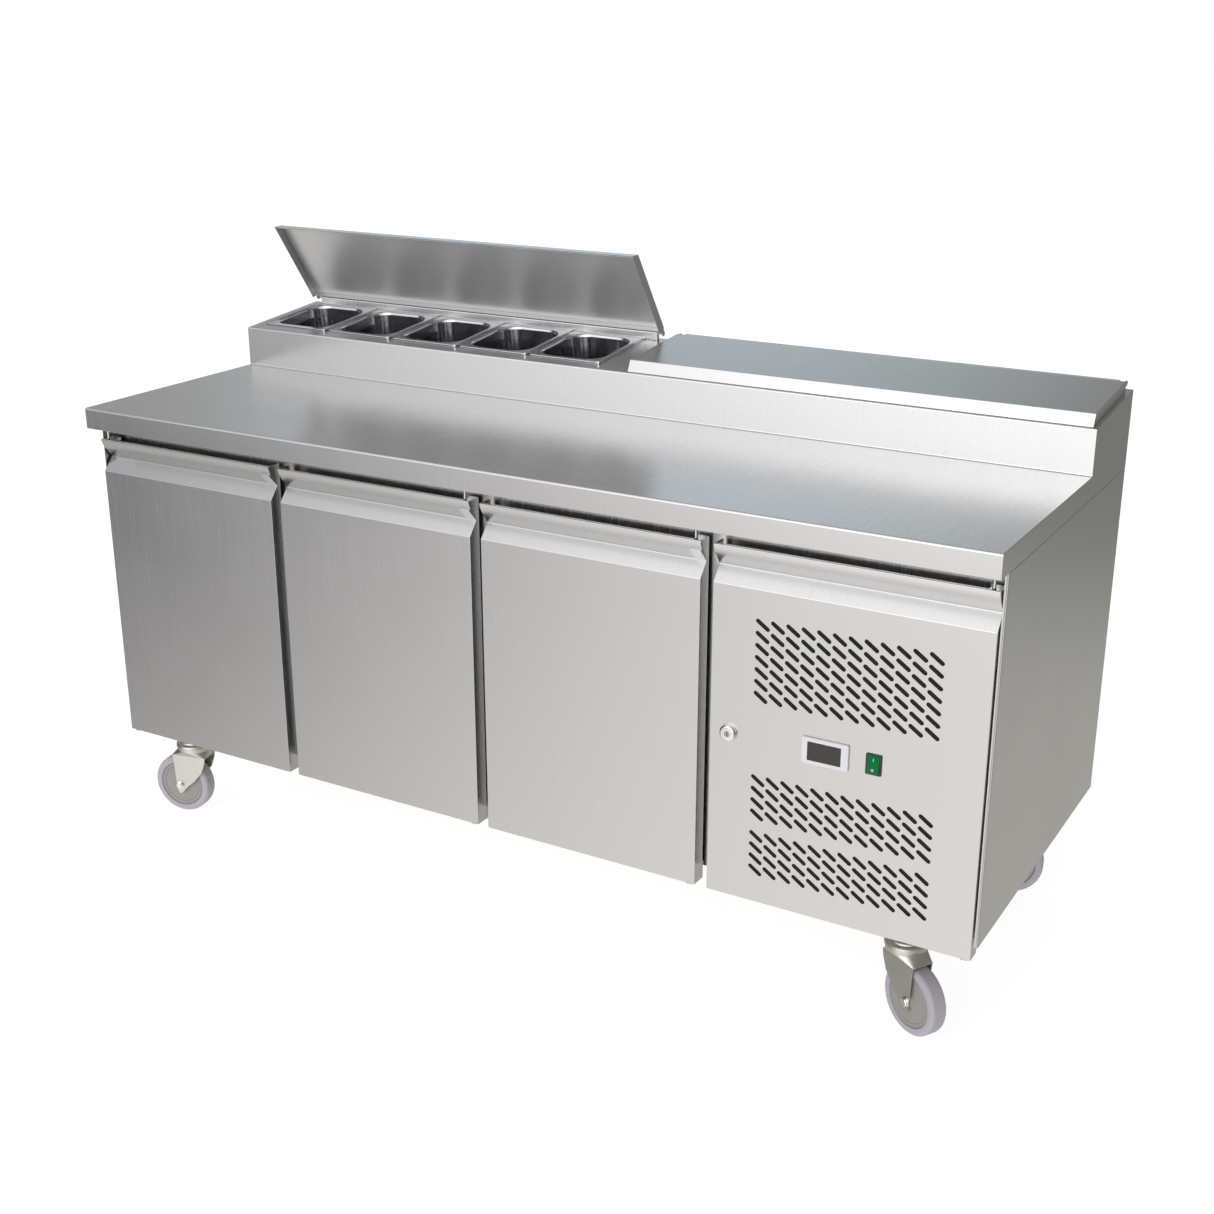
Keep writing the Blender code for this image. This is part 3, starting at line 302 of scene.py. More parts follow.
def circle(u, v, radius, sides=32):
    turns = [math.tau * step / sides for step in range(sides)]
    return [(u + radius * math.cos(a), v + radius * math.sin(a)) for a in turns]


def obround(u, v, length, width, lean, steps=5):
    """Slot with round ends, its long axis leaning by an angle from +u."""
    half = (length - width) / 2
    points = []
    for end, start in ((1, -math.pi / 2), (-1, math.pi / 2)):
        for step in range(steps + 1):
            a = start + math.pi * step / steps
            points.append(Vector((end * half + width / 2 * math.cos(a), width / 2 * math.sin(a))))
    turn = Matrix.Rotation(lean, 2)
    return [(u + p.x, v + p.y) for p in (turn @ q for q in points)]


def ring_at(width, length, radius, z, steps=6, centre=(0, 0)):
    """Rounded rectangle as a ring of points at one height."""
    cx, cy = centre
    flat = rounded(cx - width / 2, cx + width / 2, cy - length / 2, cy + length / 2, radius, steps)
    return [(u, v, z) for u, v in flat]


def spot(joint):
    return Vector(JOINTS[joint]["pos_m"])


def local_box(node, matrix):
    """Lowest and highest corner of a node, measured in another frame."""
    back = matrix.inverted()
    points = [back @ vertex.co for vertex in frame["nodes"][node].data.vertices]
    low = Vector([min(p[i] for p in points) for i in range(3)])
    high = Vector([max(p[i] for p in points) for i in range(3)])
    return low, high


# ================================================================ materials


class Look:
    """Node material under construction, around one Principled shader."""

    def __init__(self, name, colour, roughness, metallic=0.0):
        self.mat = bpy.data.materials.new(name)
        self.mat.use_nodes = True
        self.tree = self.mat.node_tree
        self.shader = self.tree.nodes["Principled BSDF"]
        self.colour = colour
        self.set(Roughness=roughness, Metallic=metallic)
        self.shader.inputs["Base Color"].default_value = (*colour, 1.0)
        self.place = self.node("ShaderNodeTexCoord").outputs["Object"]

    def node(self, kind, **settings):
        made = self.tree.nodes.new(kind)
        for key, value in settings.items():
            setattr(made, key, value)
        return made

    def link(self, source, target):
        self.tree.links.new(source, target)

    def set(self, **inputs):
        for key, value in inputs.items():
            self.shader.inputs[key.replace("_", " ")].default_value = value

    def noise(self, scale, detail=3.0, stretch=(1, 1, 1), roughness=0.55):
        """Noise of so many bumps to the metre, squeezed along each axis by stretch."""
        mapping = self.node("ShaderNodeMapping")
        mapping.inputs["Scale"].default_value = stretch
        self.link(self.place, mapping.inputs["Vector"])
        noise = self.node("ShaderNodeTexNoise")
        noise.inputs["Scale"].default_value = scale
        noise.inputs["Detail"].default_value = detail
        noise.inputs["Roughness"].default_value = roughness
        self.link(mapping.outputs["Vector"], noise.inputs["Vector"])
        return noise.outputs["Fac"]

    def spread(self, value, low, high, start=0.30, end=0.70):
        """Carry a noise value from its own range to another."""
        ranged = self.node("ShaderNodeMapRange")
        ranged.inputs["From Min"].default_value = start
        ranged.inputs["From Max"].default_value = end
        ranged.inputs["To Min"].default_value = low
        ranged.inputs["To Max"].default_value = high
        self.link(value, ranged.inputs["Value"])
        return ranged.outputs["Result"]

    def math(self, operation, a, b):
        made = self.node("ShaderNodeMath", operation=operation)
        for socket, value in zip(made.inputs, (a, b)):
            if isinstance(value, (int, float)):
                socket.default_value = value
            else:
                self.link(value, socket)
        return made.outputs[0]

    def tint(self, factor, amount, shade):
        """Blend the base colour towards a shade by a factor between 0 and amount."""
        mix = self.node("ShaderNodeMix", data_type="RGBA")
        self.link(self.math("MULTIPLY", factor, amount), mix.inputs[0])
        source = self.shader.inputs["Base Color"]
        if source.is_linked:
            self.link(source.links[0].from_socket, mix.inputs[6])
        else:
            mix.inputs[6].default_value = (*self.colour, 1.0)
        mix.inputs[7].default_value = (*shade, 1.0)
        self.link(mix.outputs[2], source)

    def bump(self, height, distance):
        node = self.node("ShaderNodeBump")
        node.inputs["Distance"].default_value = distance
        node.inputs["Strength"].default_value = 1.0
        self.link(height, node.inputs["Height"])
        target = self.shader.inputs["Normal"]
        if target.is_linked:
            self.link(target.links[0].from_socket, node.inputs["Normal"])
        self.link(node.outputs["Normal"], target)


# Bumps to the metre across the grain of brushed sheet, and how far one is drawn out along it
FINE_GRAIN = 1900
COARSE_GRAIN = 420
ALONG_GRAIN = 0.012


def brushed(name, colour=(0.60, 0.60, 0.605), grain="x", roughness=0.30, depth=0.00002, metallic=1.0):
    """Satin stainless sheet: streaks across one axis, soft cloudy patches and light handling wear."""
    look = Look(name, colour, roughness, metallic)
    across = [1 if axis == grain else ALONG_GRAIN for axis in "xyz"]
    fine = look.noise(FINE_GRAIN, 2.0, across)
    coarse = look.noise(COARSE_GRAIN, 2.0, across, 0.5)
    cloud = look.noise(5.5, 3.0)
    scuffs = look.noise(38, 5.0, (1, 1, 1), 0.75)
    streak = look.math("ADD", look.spread(fine, -0.5, 0.5), look.spread(coarse, -0.5, 0.5))
    rough = look.math("ADD", look.spread(cloud, roughness - 0.010, roughness + 0.014),
                      look.math("MULTIPLY", streak, 0.030))
    rough = look.math("ADD", rough, look.spread(scuffs, 0.0, 0.008, 0.55, 0.85))
    look.link(rough, look.shader.inputs["Roughness"])
    look.tint(look.spread(coarse, 0, 1), 0.04, (0.42, 0.42, 0.43))
    look.tint(look.spread(cloud, 0, 1), 0.02, (0.72, 0.71, 0.69))
    look.bump(look.math("ADD", look.math("MULTIPLY", fine, 0.5), coarse), depth)
    return look.mat


def polished(name, colour, roughness):
    """Drawn and polished metal: faint upright draw marks and water spots."""
    look = Look(name, colour, roughness, 1.0)
    draw = look.noise(260, 3.0, (1, 1, 0.05))
    spots = look.noise(90, 4.0)
    look.link(look.math("ADD", look.spread(draw, roughness - 0.015, roughness + 0.02),
                        look.spread(spots, 0.0, 0.05, 0.62, 0.75)), look.shader.inputs["Roughness"])
    look.tint(look.spread(draw, 0, 1), 0.06, (0.40, 0.40, 0.42))
    look.bump(draw, 0.00001)
    return look.mat


def plated(name, colour, roughness=0.27):
    """Zinc plate: passivated clouds of warm and cool over fine pressing marks."""
    look = Look(name, colour, roughness, 1.0)
    cloud = look.noise(60, 4.0)
    grain = look.noise(1300, 3.0)
    look.link(look.spread(cloud, roughness - 0.06, roughness + 0.08), look.shader.inputs["Roughness"])
    look.tint(look.spread(cloud, 0, 1), 0.35, (0.66, 0.63, 0.52))
    look.tint(look.spread(look.noise(33, 2.0), 0, 1), 0.25, (0.50, 0.54, 0.62))
    look.bump(grain, 0.00003)
    return look.mat


def moulded(name, colour, roughness, grain=1600, depth=0.00003, mottle=0.10):
    """Moulded plastic or rubber: fine spark-eroded texture and slight mottling."""
    look = Look(name, colour, roughness)
    fine = look.noise(grain, 3.0)
    cloud = look.noise(24, 4.0)
    look.link(look.math("ADD", look.spread(cloud, roughness - 0.05, roughness + 0.07),
                        look.spread(fine, -0.03, 0.03)), look.shader.inputs["Roughness"])
    darker = tuple(0.72 * c for c in colour)
    look.tint(look.spread(cloud, 0, 1), mottle * 2, darker)
    look.bump(fine, depth)
    return look.mat


def enamel(name, colour):
    """Stoved black enamel with a slight orange peel and dust."""
    look = Look(name, colour, 0.30)
    peel = look.noise(420, 2.0)
    dust = look.noise(55, 5.0)
    look.link(look.spread(dust, 0.24, 0.48), look.shader.inputs["Roughness"])
    look.tint(look.spread(dust, 0, 1, 0.5, 0.8), 0.35, (0.12, 0.115, 0.11))
    look.bump(peel, 0.00012)
    look.set(Coat_Weight=0.3)
    return look.mat


def lit_green(name):
    """Clear green rocker with a lamp behind it, mottled a little brighter in places."""
    look = Look(name, (0.0, 0.080, 0.020), 0.26)
    glow = look.noise(160, 2.0)
    look.tint(look.spread(glow, 0, 1), 0.5, (0.0, 0.10, 0.03))
    look.shader.inputs["Specular IOR Level"].default_value = 0.10
    look.set(Emission_Color=(0.0, 0.30, 0.07, 1.0), Emission_Strength=0.16)
    look.bump(look.noise(900, 2.0), 0.00002)
    return look.mat


def window(name):
    """Smoked display window over an unlit readout."""
    look = Look(name, (0.020, 0.017, 0.016), 0.16)
    smear = look.noise(70, 4.0)
    look.link(look.spread(smear, 0.12, 0.26), look.shader.inputs["Roughness"])
    look.tint(look.spread(smear, 0, 1), 0.5, (0.034, 0.029, 0.028))
    look.bump(look.noise(500, 2.0), 0.00001)
    return look.mat


STEEL = brushed("brushed_steel", roughness=0.25)
STEEL_SIDE = brushed("brushed_steel_side", grain="y")
# Lighter, partly matt copy of the brushed steel: painted light that brightens the underside of the lids.
LID_INSIDE_LIGHTENED = brushed("lid_inside_lightened", (0.66, 0.66, 0.665), roughness=0.33, metallic=0.72)
LINER = brushed("liner_steel", (0.62, 0.62, 0.61), "x", 0.36)
PAN = polished("pan_steel", (0.50, 0.50, 0.52), 0.13)
CHROME = polished("chrome", (0.74, 0.74, 0.75), 0.12)
ZINC = plated("zinc_plate", (0.62, 0.605, 0.57), 0.36)
FINS = brushed("aluminium_fins", (0.74, 0.74, 0.75), "z", 0.38)
WIRE = polished("shelf_wire", (0.66, 0.66, 0.66), 0.22)
COPPER = polished("copper_pipe", (0.72, 0.34, 0.20), 0.25)
GASKET = moulded("gasket_rubber", (0.045, 0.045, 0.047), 0.62, 900, 0.00006)
TYRE = moulded("grey_tyre", (0.37, 0.352, 0.400), 0.58, 1100, 0.00008)
HUB = moulded("hub_plastic", (0.265, 0.252, 0.242), 0.50)
WHITE = moulded("white_plastic", (0.80, 0.80, 0.80), 0.34, mottle=0.03)
PALE = moulded("pale_plastic", (0.60, 0.60, 0.64), 0.42, mottle=0.03)
BLACK = moulded("black_plastic", (0.018, 0.018, 0.019), 0.42)
BLACK_ENAMEL = enamel("black_enamel", (0.014, 0.014, 0.015))
FILTER = moulded("filter_foam", (0.005, 0.005, 0.006), 0.90, 700, 0.0004)
NICKEL = plated("nickel_plug", (0.40, 0.41, 0.37), 0.34)
SCREEN = window("display_window")
GREEN = lit_green("green_rocker")


# ================================================================ top and upstand

WORKTOP_LOW, WORKTOP_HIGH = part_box("worktop")
RISER_LOW, RISER_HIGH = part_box("riser")
RAIL_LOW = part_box("lid_rail_left")[0]
PANS = [f"pan_{number}" for number in range(1, 11)]
ROWS = {"left": PANS[:5], "right": PANS[5:]}
PAN_RIM = (0.162, 0.176)
WELL_MARGIN = 0.006
BAR_HALF = 0.00125
BAR_S = (0.0290, 0.2110)
BAR_CLEAR = 0.0002


def surface_z(y):
    """Height of the sloped top at one y, from the underside of a lid's rail."""
    return RAIL_LOW.z - GAP + (y - RAIL_LOW.y) * math.tan(SLOPE)


def slope_frame():
    """Frame on the sloped top: x across, y up the slope from its front edge, z out of it."""
    y = RISER_LOW.y
    return Matrix.Translation((0, y, surface_z(y))) @ Matrix.Rotation(SLOPE, 4, "X")


def pan_centre(name):
    """Middle of a pan's rim, on the sloped top."""
    low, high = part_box(name)
    y = (low.y + high.y) / 2
    return Vector(((low.x + high.x) / 2, y, surface_z(y)))


def row_span(side):
    names = ROWS[side]
    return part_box(names[0])[0].x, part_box(names[-1])[1].x


def build_top():
    """Worktop and upstand, welded into one folded sheet shell over the foam."""
    front, top, under = WORKTOP_LOW.y, WORKTOP_HIGH.z, WORKTOP_LOW.z
    step, rear = RISER_LOW.y, RISER_HIGH.y
    profile = fillet([
        (front, under, 0.0014), (rear, under, 0.0014), (rear, surface_z(rear), 0.0020),
        (step, surface_z(step), 0.0025), (step, top, 0.0022), (front, top, 0.0036),
    ])
    shell = Shape().prism([profile], WORKTOP_LOW.x, WORKTOP_HIGH.x, "x", 0.0012)
    slope = slope_frame()
    centre = slope.inverted() @ pan_centre("pan_1")
    wells = Shape()
    for side in ROWS:
        x0, x1 = row_span(side)
        loop = rounded(x0 + WELL_MARGIN, x1 - WELL_MARGIN, centre.y - PAN_RIM[1] / 2 + WELL_MARGIN,
                       centre.y + PAN_RIM[1] / 2 - WELL_MARGIN, 0.012, 4)
        wells.prism([loop], -0.20, 0.05, "z", matrix=slope)
    shell.cut(wells)
    piece("top_shell", shell, STEEL, "cabinet", ("worktop", "riser"))


def bar_places(side):
    """Divider bars stand after each pan of the left row and before each pan of the right one."""
    names = ROWS[side]
    places = [(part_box(a)[1].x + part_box(b)[0].x) / 2 for a, b in zip(names, names[1:])]
    pitch = places[1] - places[0]
    if side == "left":
        return places + [places[-1] + pitch]
    return [places[0] - pitch] + places


def build_bars():
    """Thin divider bars between the pans, each with a small tab at both ends."""
    slope = slope_frame()
    s0, s1 = BAR_S
    number = 0
    for side in ROWS:
        for x in bar_places(side):
            number += 1
            bar = Shape()
            for half, start, end, top, edge in (
                (BAR_HALF, s0, s1, 0.0053, 0.0005),
                (0.0020, s0 - 0.0010, s0 + 0.0012, 0.0060, 0.0006),
                (0.0018, s1 - 0.0012, s1 + 0.0006, 0.0056, 0.0005),
            ):
                bar.block((x - half, start, BAR_CLEAR), (x + half, end, top), edge, slope)
            piece(f"divider_bar_{number}", bar, CHROME, "cabinet")


PAN_MOUTH = (PAN_RIM[0] - 0.0210, PAN_RIM[1] - 0.0230)
PAN_SHEET = 0.0009
PAN_DISH = (0.0400, 0.0500, 0.0100, -0.0972)
# Rings of a pan: (growth over its rim or its mouth, corner radius, height above the slope)
PAN_FLANGE = ((-0.0010, 0.0085, 0.0004), (0.0, 0.0090, 0.0009), (-0.0004, 0.0090, 0.0018),
              (-0.0016, 0.0085, 0.0023), (-0.0090, 0.0150, 0.0020))
PAN_INSIDE = ((0.0050, 0.0360, 0.0021), (0.0020, 0.0375, 0.0014), (0.0, 0.0385, -0.0006),
              (-0.0012, 0.0385, -0.0040), (-0.0028, 0.0380, -0.0200), (-0.0060, 0.0365, -0.0235),
              (-0.0110, 0.0350, -0.0700), (-0.0140, 0.0340, -0.0850), (-0.0180, 0.0325, -0.0915),
              (-0.0260, 0.0290, -0.0955), (-0.0380, 0.0240, -0.0968))
PAN_OUTSIDE = ((-0.0370, 0.0240, -0.0968 - PAN_SHEET), (-0.0250, 0.0290, -0.0955 - PAN_SHEET),
               (-0.0168, 0.0325, -0.0920), (-0.0124, 0.0345, -0.0852), (-0.0092, 0.0355, -0.0700),
               (-0.0042, 0.0370, -0.0238), (-0.0010, 0.0385, -0.0203), (0.0006, 0.0385, -0.0040),
               (0.0018, 0.0380, 0.0004), (0.0060, 0.0350, 0.0008))
PAN_UNDER_RIM = ((-0.0060, 0.0100, 0.0008),)


def pan_shape():
    """One-sixth pan: flat rim with a rolled mouth, stacking shoulder, tapering walls, dished floor."""

    def grown(size, rows):
        width, length = size
        return [ring_at(width + more, length + more, radius, z, 8) for more, radius, z in rows]

    width, length, radius, z = PAN_DISH
    floor = [ring_at(width, length, radius, height, 8) for height in (z, z - PAN_SHEET)]
    rings = grown(PAN_RIM, PAN_FLANGE) + grown(PAN_MOUTH, PAN_INSIDE) + floor
    rings += grown(PAN_MOUTH, PAN_OUTSIDE) + grown(PAN_RIM, PAN_UNDER_RIM)
    return Shape().loft(rings, closed=True)


def build_pans():
    """Ten pans that share one mesh."""
    mesh = None
    for name in PANS:
        if mesh is None:
            obj = piece(name + "_bowl", pan_shape(), PAN, name)
            mesh = obj.data
        else:
            obj = instance(name + "_bowl", mesh)
        settle(obj, Matrix.Translation(pan_centre(name)) @ Matrix.Rotation(SLOPE, 4, "X"), name)
        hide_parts(name)


# ================================================================ lids

LID_REAR = -0.0099
LID_TOP = 0.0064
LID_NOSE = 0.0125
LID_SHEET = 0.0013
LID_HEM = 0.0007
RAIL_R = 0.0045
EAR_REACH = 0.016


def lid_frame(side):
    """Frame of a lid at rest: origin on its hinge, x across, y up the slope, z out of its top."""
    joint = JOINTS[f"lid_{side}_hinge"]
    opened = math.radians(-joint["range_deg"][0])
    return Matrix.Translation(joint["pos_m"]) @ Matrix.Rotation(SLOPE - opened, 4, "X")


def lid_shell(low, high):
    """Folded lid: sloped nose, turned-down sides and a rear lip left open between its ears."""
    nose, bottom, top = low.y, low.z, LID_TOP
    outer = fillet([(nose, bottom, 0.0), (LID_REAR, bottom, 0.0), (LID_REAR, top, 0.0016),
                    (nose + LID_NOSE, top, 0.0022)])
    inner = [(nose + 0.0016, bottom - 0.004), (LID_REAR - LID_SHEET, bottom - 0.004),
             (LID_REAR - LID_SHEET, top - LID_SHEET), (nose + LID_NOSE + 0.0010, top - LID_SHEET),
             (nose + 0.0016, bottom + 0.0006)]
    shell = Shape().prism([outer], low.x, high.x, "x", 0.0008)
    shell.cut(Shape().prism([inner], low.x + LID_SHEET, high.x - LID_SHEET, "x"))
    shell.cut(Shape().block((low.x + LID_SHEET, LID_REAR - 0.004, bottom - 0.004),
                            (high.x - LID_SHEET, LID_REAR + 0.004, top - 0.0126)))
    return shell


def hem_lid(shell, low, high):
    """Rolled hem along the mouth of a lid."""
    z = low.z + LID_HEM
    for x in (low.x + LID_HEM, high.x - LID_HEM):
        shell.rod((x, low.y + 0.004, z), (x, LID_REAR - 0.002, z), LID_HEM, 12, 0.0004)
    shell.rod((low.x + 0.004, low.y + 0.0030, z), (high.x - 0.004, low.y + 0.0030, z), LID_HEM, 12, 0.0004)


def add_lid_ears(shell, low, high):
    """Ear, pin and washer inside each turned-down side of a lid."""
    round_end = [(RAIL_R * math.cos(a), RAIL_R * math.sin(a)) for a in
                 [math.pi * (step / 12 - 0.5) for step in range(13)]]
    ear = [(-EAR_REACH, -RAIL_R), *round_end, (-EAR_REACH, RAIL_R)]
    for wall, inward in ((low.x + LID_SHEET, 1), (high.x - LID_SHEET, -1)):
        a, b = sorted((wall - inward * 0.0006, wall + inward * 0.0020))
        shell.prism([ear], a, b, "x", 0.0004)
        shell.rod((wall, 0, 0), (wall + inward * 0.018, 0, 0), 0.0019, 16, 0.0003)
        shell.rod((wall + inward * 0.0015, 0, 0), (wall + inward * 0.0035, 0, 0), 0.0038, 20, 0.0005)


def build_lid(side):
    """Folded lid with its hem and hinge ears, and the plain sheet that faces the pans, in a lighter steel
    that paints light onto the lid's underside.
    """
    place = lid_frame(side)
    low, high = local_box(f"lid_{side}", place)
    shell = lid_shell(low, high)
    hem_lid(shell, low, high)
    add_lid_ears(shell, low, high)
    under = LID_TOP - LID_SHEET
    # The sheet under the lid's top carries the lightened steel, as painted light on the underside.
    inside = Shape().block((low.x + LID_SHEET + GAP, low.y + LID_NOSE + 0.0012, under - 0.0006),
                           (high.x - LID_SHEET - GAP, LID_REAR - LID_SHEET - GAP, under - 0.0001))
    for label, shape, look in (("skin", shell, STEEL), ("inner_face", inside, LID_INSIDE_LIGHTENED)):
        obj = piece(f"lid_{side}_{label}", shape, look, f"lid_{side}")
        settle(obj, place, f"lid_{side}")
        if label == "skin":
            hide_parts(f"lid_{side}")


def build_rail(side):
    """Low rail that a lid hinges on: half-round top, a welded foot flange and bored ends."""
    low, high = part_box(f"lid_rail_{side}")
    axis = spot(f"lid_{side}_hinge")
    foot_y, foot_z = low.y + 0.0002, low.z - 0.0001 + 0.0008
    arc = [(axis.y + RAIL_R * math.cos(a), axis.z + RAIL_R * math.sin(a)) for a in
           [math.pi * step / 16 for step in range(17)]]
    tilt = math.tan(SLOPE) * RAIL_R
    loop = arc + [(axis.y - RAIL_R, surface_z(axis.y) - tilt + GAP),
                  (axis.y + RAIL_R, surface_z(axis.y) + tilt + GAP)]
    rail = Shape().prism([loop], low.x, high.x, "x", 0.0004)
    bores = Shape()
    for x in (low.x, high.x):
        bores.rod((x - 0.009, axis.y, axis.z), (x + 0.009, axis.y, axis.z), 0.0021, 16)
    rail.cut(bores)
    rail.rod((low.x + 0.003, foot_y, foot_z), (high.x - 0.003, foot_y, foot_z), 0.0009, 10, 0.0003)
    piece(f"lid_rail_{side}_bar", rail, STEEL, "cabinet", (f"lid_rail_{side}",))


# ================================================================ doors

DOORS = ("door_1", "door_2", "door_3")
RECESS_DROP = 0.064
RECESS_DEEP = 0.021
CREASE_DROP = 0.039
LIP_OUT = 0.002
WEB_WIDTH = 0.020
CHANNEL_DEEP = 0.015
CHANNEL_SHALLOW = 0.0050
LINER_MARGIN = 0.0165
HINGE_BOSS = 0.010
PIN_R = 0.0030
# The gasket whose top a door's channel is cut down to, where it isn't the door's own
SEALED = {"bay_door": "door_3"}


def bezier(a, b, c, d, steps):
    """Points along a cubic curve between a and d, drawn towards b and c."""
    points = []
    for step in range(steps + 1):
        t = step / steps
        u = 1 - t
        weights = (u * u * u, 3 * u * u * t, 3 * u * t * t, t * t * t)
        points.append(tuple(sum(w * p[i] for w, p in zip(weights, (a, b, c, d))) for i in (0, 1)))
    return points


def door_outline(low, high):
    """(y, z) outline of a door: flat front, sloped grip, curved underside up to the lip."""
    front = low.y + LIP_OUT
    back, bottom, top = high.y, low.z, high.z
    lip = low.y
    start = (lip, top - 0.0020)
    crease = (front + RECESS_DEEP, top - CREASE_DROP)
    sweep = bezier(start, (lip + 0.0020, top - 0.0130), (lip + 0.0145, top - 0.0265), crease, 14)
    return fillet([
        (back, bottom, 0.0010), (back, top, 0.0010), (lip, top, 0.0012),
        *[(y, z, 0.0) for y, z in sweep[:-1]],
        (*crease, 0.0014), (front, top - RECESS_DROP, 0.0016),
        (front, bottom, 0.0016),
    ], 5)


def door_shell(name):
    """Door skin with its finger channel behind the lip and the bores of its hinge."""
    low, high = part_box(name)
    pivot = spot(f"{name}_hinge")
    shell = Shape().prism([door_outline(low, high)], low.x, high.x, "x", 0.0008)
    channel = Shape()
    channel.block((low.x + SHEET, low.y + 0.0020, high.z - CHANNEL_SHALLOW),
                  (high.x - SHEET, high.y - 0.0015, high.z + 0.010))
    lip = low.y + 0.0026
    loop = [(lip + 0.0070, high.z - CHANNEL_DEEP), (high.y - 0.0019, high.z - CHANNEL_DEEP),
            (high.y - 0.0019, high.z + 0.010), (lip, high.z + 0.010), (lip, high.z - 0.0075)]
    if pivot.x < (low.x + high.x) / 2:
        x0, x1 = pivot.x + HINGE_BOSS, high.x - SHEET - 0.0004
    else:
        x0, x1 = low.x + SHEET + 0.0004, pivot.x - HINGE_BOSS
    channel.prism([loop], x0, x1, "x")
    for z, way in ((high.z - CHANNEL_SHALLOW, -1), (low.z, 1)):
        channel.rod((pivot.x, pivot.y, z - way * 0.002), (pivot.x, pivot.y, z + way * 0.0100), 0.0031, 20)
    shell.cut(channel)
    seal_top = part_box(f"{SEALED.get(name, name)}_gasket")[1].z
    shell.cut(Shape().block((x0 + 0.0008, high.y - 0.0100, seal_top + 0.0010),
                            (x1 - 0.0008, high.y + 0.0040, high.z + 0.012)))
    return shell, low, high, pivot


def grip_web(shell, low, high, x0, x1):
    """Flat web that closes the curved underside of the grip at one end."""
    front = low.y + LIP_OUT
    top = high.z
    loop = fillet([(low.y + 0.0006, top - 0.0165, 0.0008),
                   (front + RECESS_DEEP - 0.0006, top - CREASE_DROP - 0.0004, 0.0),
                   (front + RECESS_DEEP + 0.002, top - 0.030, 0.0), (front + 0.012, top - 0.012, 0.0)])
    shell.prism([loop], x0, x1, "x", 0.0004)


def build_bushes(name, low, high, pivot):
    """Hinge bushes pressed into the bores, shown as thin collars round the pins."""
    collars = Shape()
    upper = [(0.0032, -0.0006), (0.0058, -0.0006), (0.0062, 0.0002), (0.0058, 0.0010), (0.0032, 0.0010)]
    lower = [(r, -h * 0.3) for r, h in upper]
    for z, ring in ((high.z - CHANNEL_SHALLOW, upper), (low.z, lower)):
        collars.lathe(ring, 24, Matrix.Translation((pivot.x, pivot.y, z)), True)
    piece(f"{name}_bushes", collars, BLACK, name)


def build_door(name):
    shell, low, high, pivot = door_shell(name)
    grip_web(shell, low, high, high.x - WEB_WIDTH, high.x - 0.0004)
    piece(f"{name}_skin", shell, STEEL, name, (name,))
    build_bushes(name, low, high, pivot)
    build_liner(name, high.y)
    build_gasket(name)


def build_liner(name, back):
    """Pressed inner panel inside the gasket, stepped and with soft corners."""
    low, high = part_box(f"{name}_gasket")
    margin = Vector((LINER_MARGIN, 0, LINER_MARGIN))
    rows = ((0.0, -0.0002, 0.020), (0.0006, 0.0022, 0.020), (0.0030, 0.0042, 0.018),
            (0.0300, 0.0046, 0.016), (0.0330, 0.0030, 0.015), (0.0380, 0.0024, 0.014))
    rings = inset_rings(low + margin, high - margin, 5, [(i, back + out, r) for i, out, r in rows])
    piece(f"{name}_inner_panel", Shape().loft(rings), LINER, name)


def build_gasket(name):
    """Magnetic bellows seal: two folds and a soft face, mitred round the door."""
    low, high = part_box(f"{name}_gasket")
    thick = high.y - low.y
    profile = ((0.0, 0.04), (0.0004, 0.30), (0.0016, 0.42), (0.0004, 0.55), (0.0, 0.92), (0.0010, 1.0),
               (0.0100, 1.0), (0.0116, 0.90), (0.0112, 0.55), (0.0098, 0.42), (0.0112, 0.30),
               (0.0116, 0.04))
    rows = [(inset, low.y + share * thick, 0.0045 + 0.2 * inset) for inset, share in profile]
    seal = Shape().loft(inset_rings(low, high, 3, rows), closed=True)
    piece(f"{name}_gasket_seal", seal, GASKET, name, (f"{name}_gasket",))


VENT_LENGTH = 0.0284
VENT_WIDTH = 0.0073
VENT_LEAN = -math.atan2(0.0163, 0.0232)
VENT_PITCH = 0.0259
VENT_COLUMNS = 12
VENT_LEFT = 0.0884
# Blocks of slots: (height of the first row above the lock, rows, row pitch)
VENT_BLOCKS = ((0.1948, 7, -0.02038), (-0.0737, 4, -0.0206), (-0.1748, 4, -0.02053))
FILTER_THICK = 0.0030
FILTER_EDGE = 0.020


def build_bay_door():
    """Single-skin door of the machine bay, folded back at its edges, with its slots and openings."""
    shell, low, high, pivot = door_shell("bay_door")
    front = low.y + LIP_OUT
    hollow = Shape()
    hollow.block((low.x + SHEET, front + SHEET, low.z + SHEET),
                 (high.x - SHEET, high.y + 0.005, high.z - RECESS_DROP - SHEET))
    shell.cut(hollow)
    lock = spot("lock_turn")
    shell.cut(Shape().prism(vent_slots(low.x, lock.z), front - 0.004, front + 0.004, "y"))
    openings = Shape()
    for node, margin_x, margin_z in (("controller_bezel", 0.004, 0.005), ("switch_bezel", 0.0025, 0.0025)):
        hole_low, hole_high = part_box(node)
        openings.block((hole_low.x + margin_x, front - 0.01, hole_low.z + margin_z),
                       (hole_high.x - margin_x, front + 0.01, hole_high.z - margin_z))
    openings.rod((lock.x, front - 0.01, lock.z), (lock.x, front + 0.01, lock.z), 0.0093, 24)
    shell.cut(openings)
    shell.block((pivot.x - 0.012, front + 0.0005, low.z + 0.0005),
                (high.x - 0.0005, high.y - 0.001, low.z + 0.020), 0.0006)
    piece("bay_door_skin", shell, STEEL, "bay_door", ("bay_door",))
    build_filter(low, front + SHEET, lock.z)
    build_bushes("bay_door", low, high, pivot)


def vent_slots(left, lock_z):
    """Outlines of the three blocks of leaning slots."""
    loops = []
    for rise, rows, pitch in VENT_BLOCKS:
        for row in range(rows):
            for column in range(VENT_COLUMNS):
                x = left + VENT_LEFT + column * VENT_PITCH
                loops.append(obround(x, lock_z + rise + row * pitch, VENT_LENGTH, VENT_WIDTH, VENT_LEAN))
    return loops


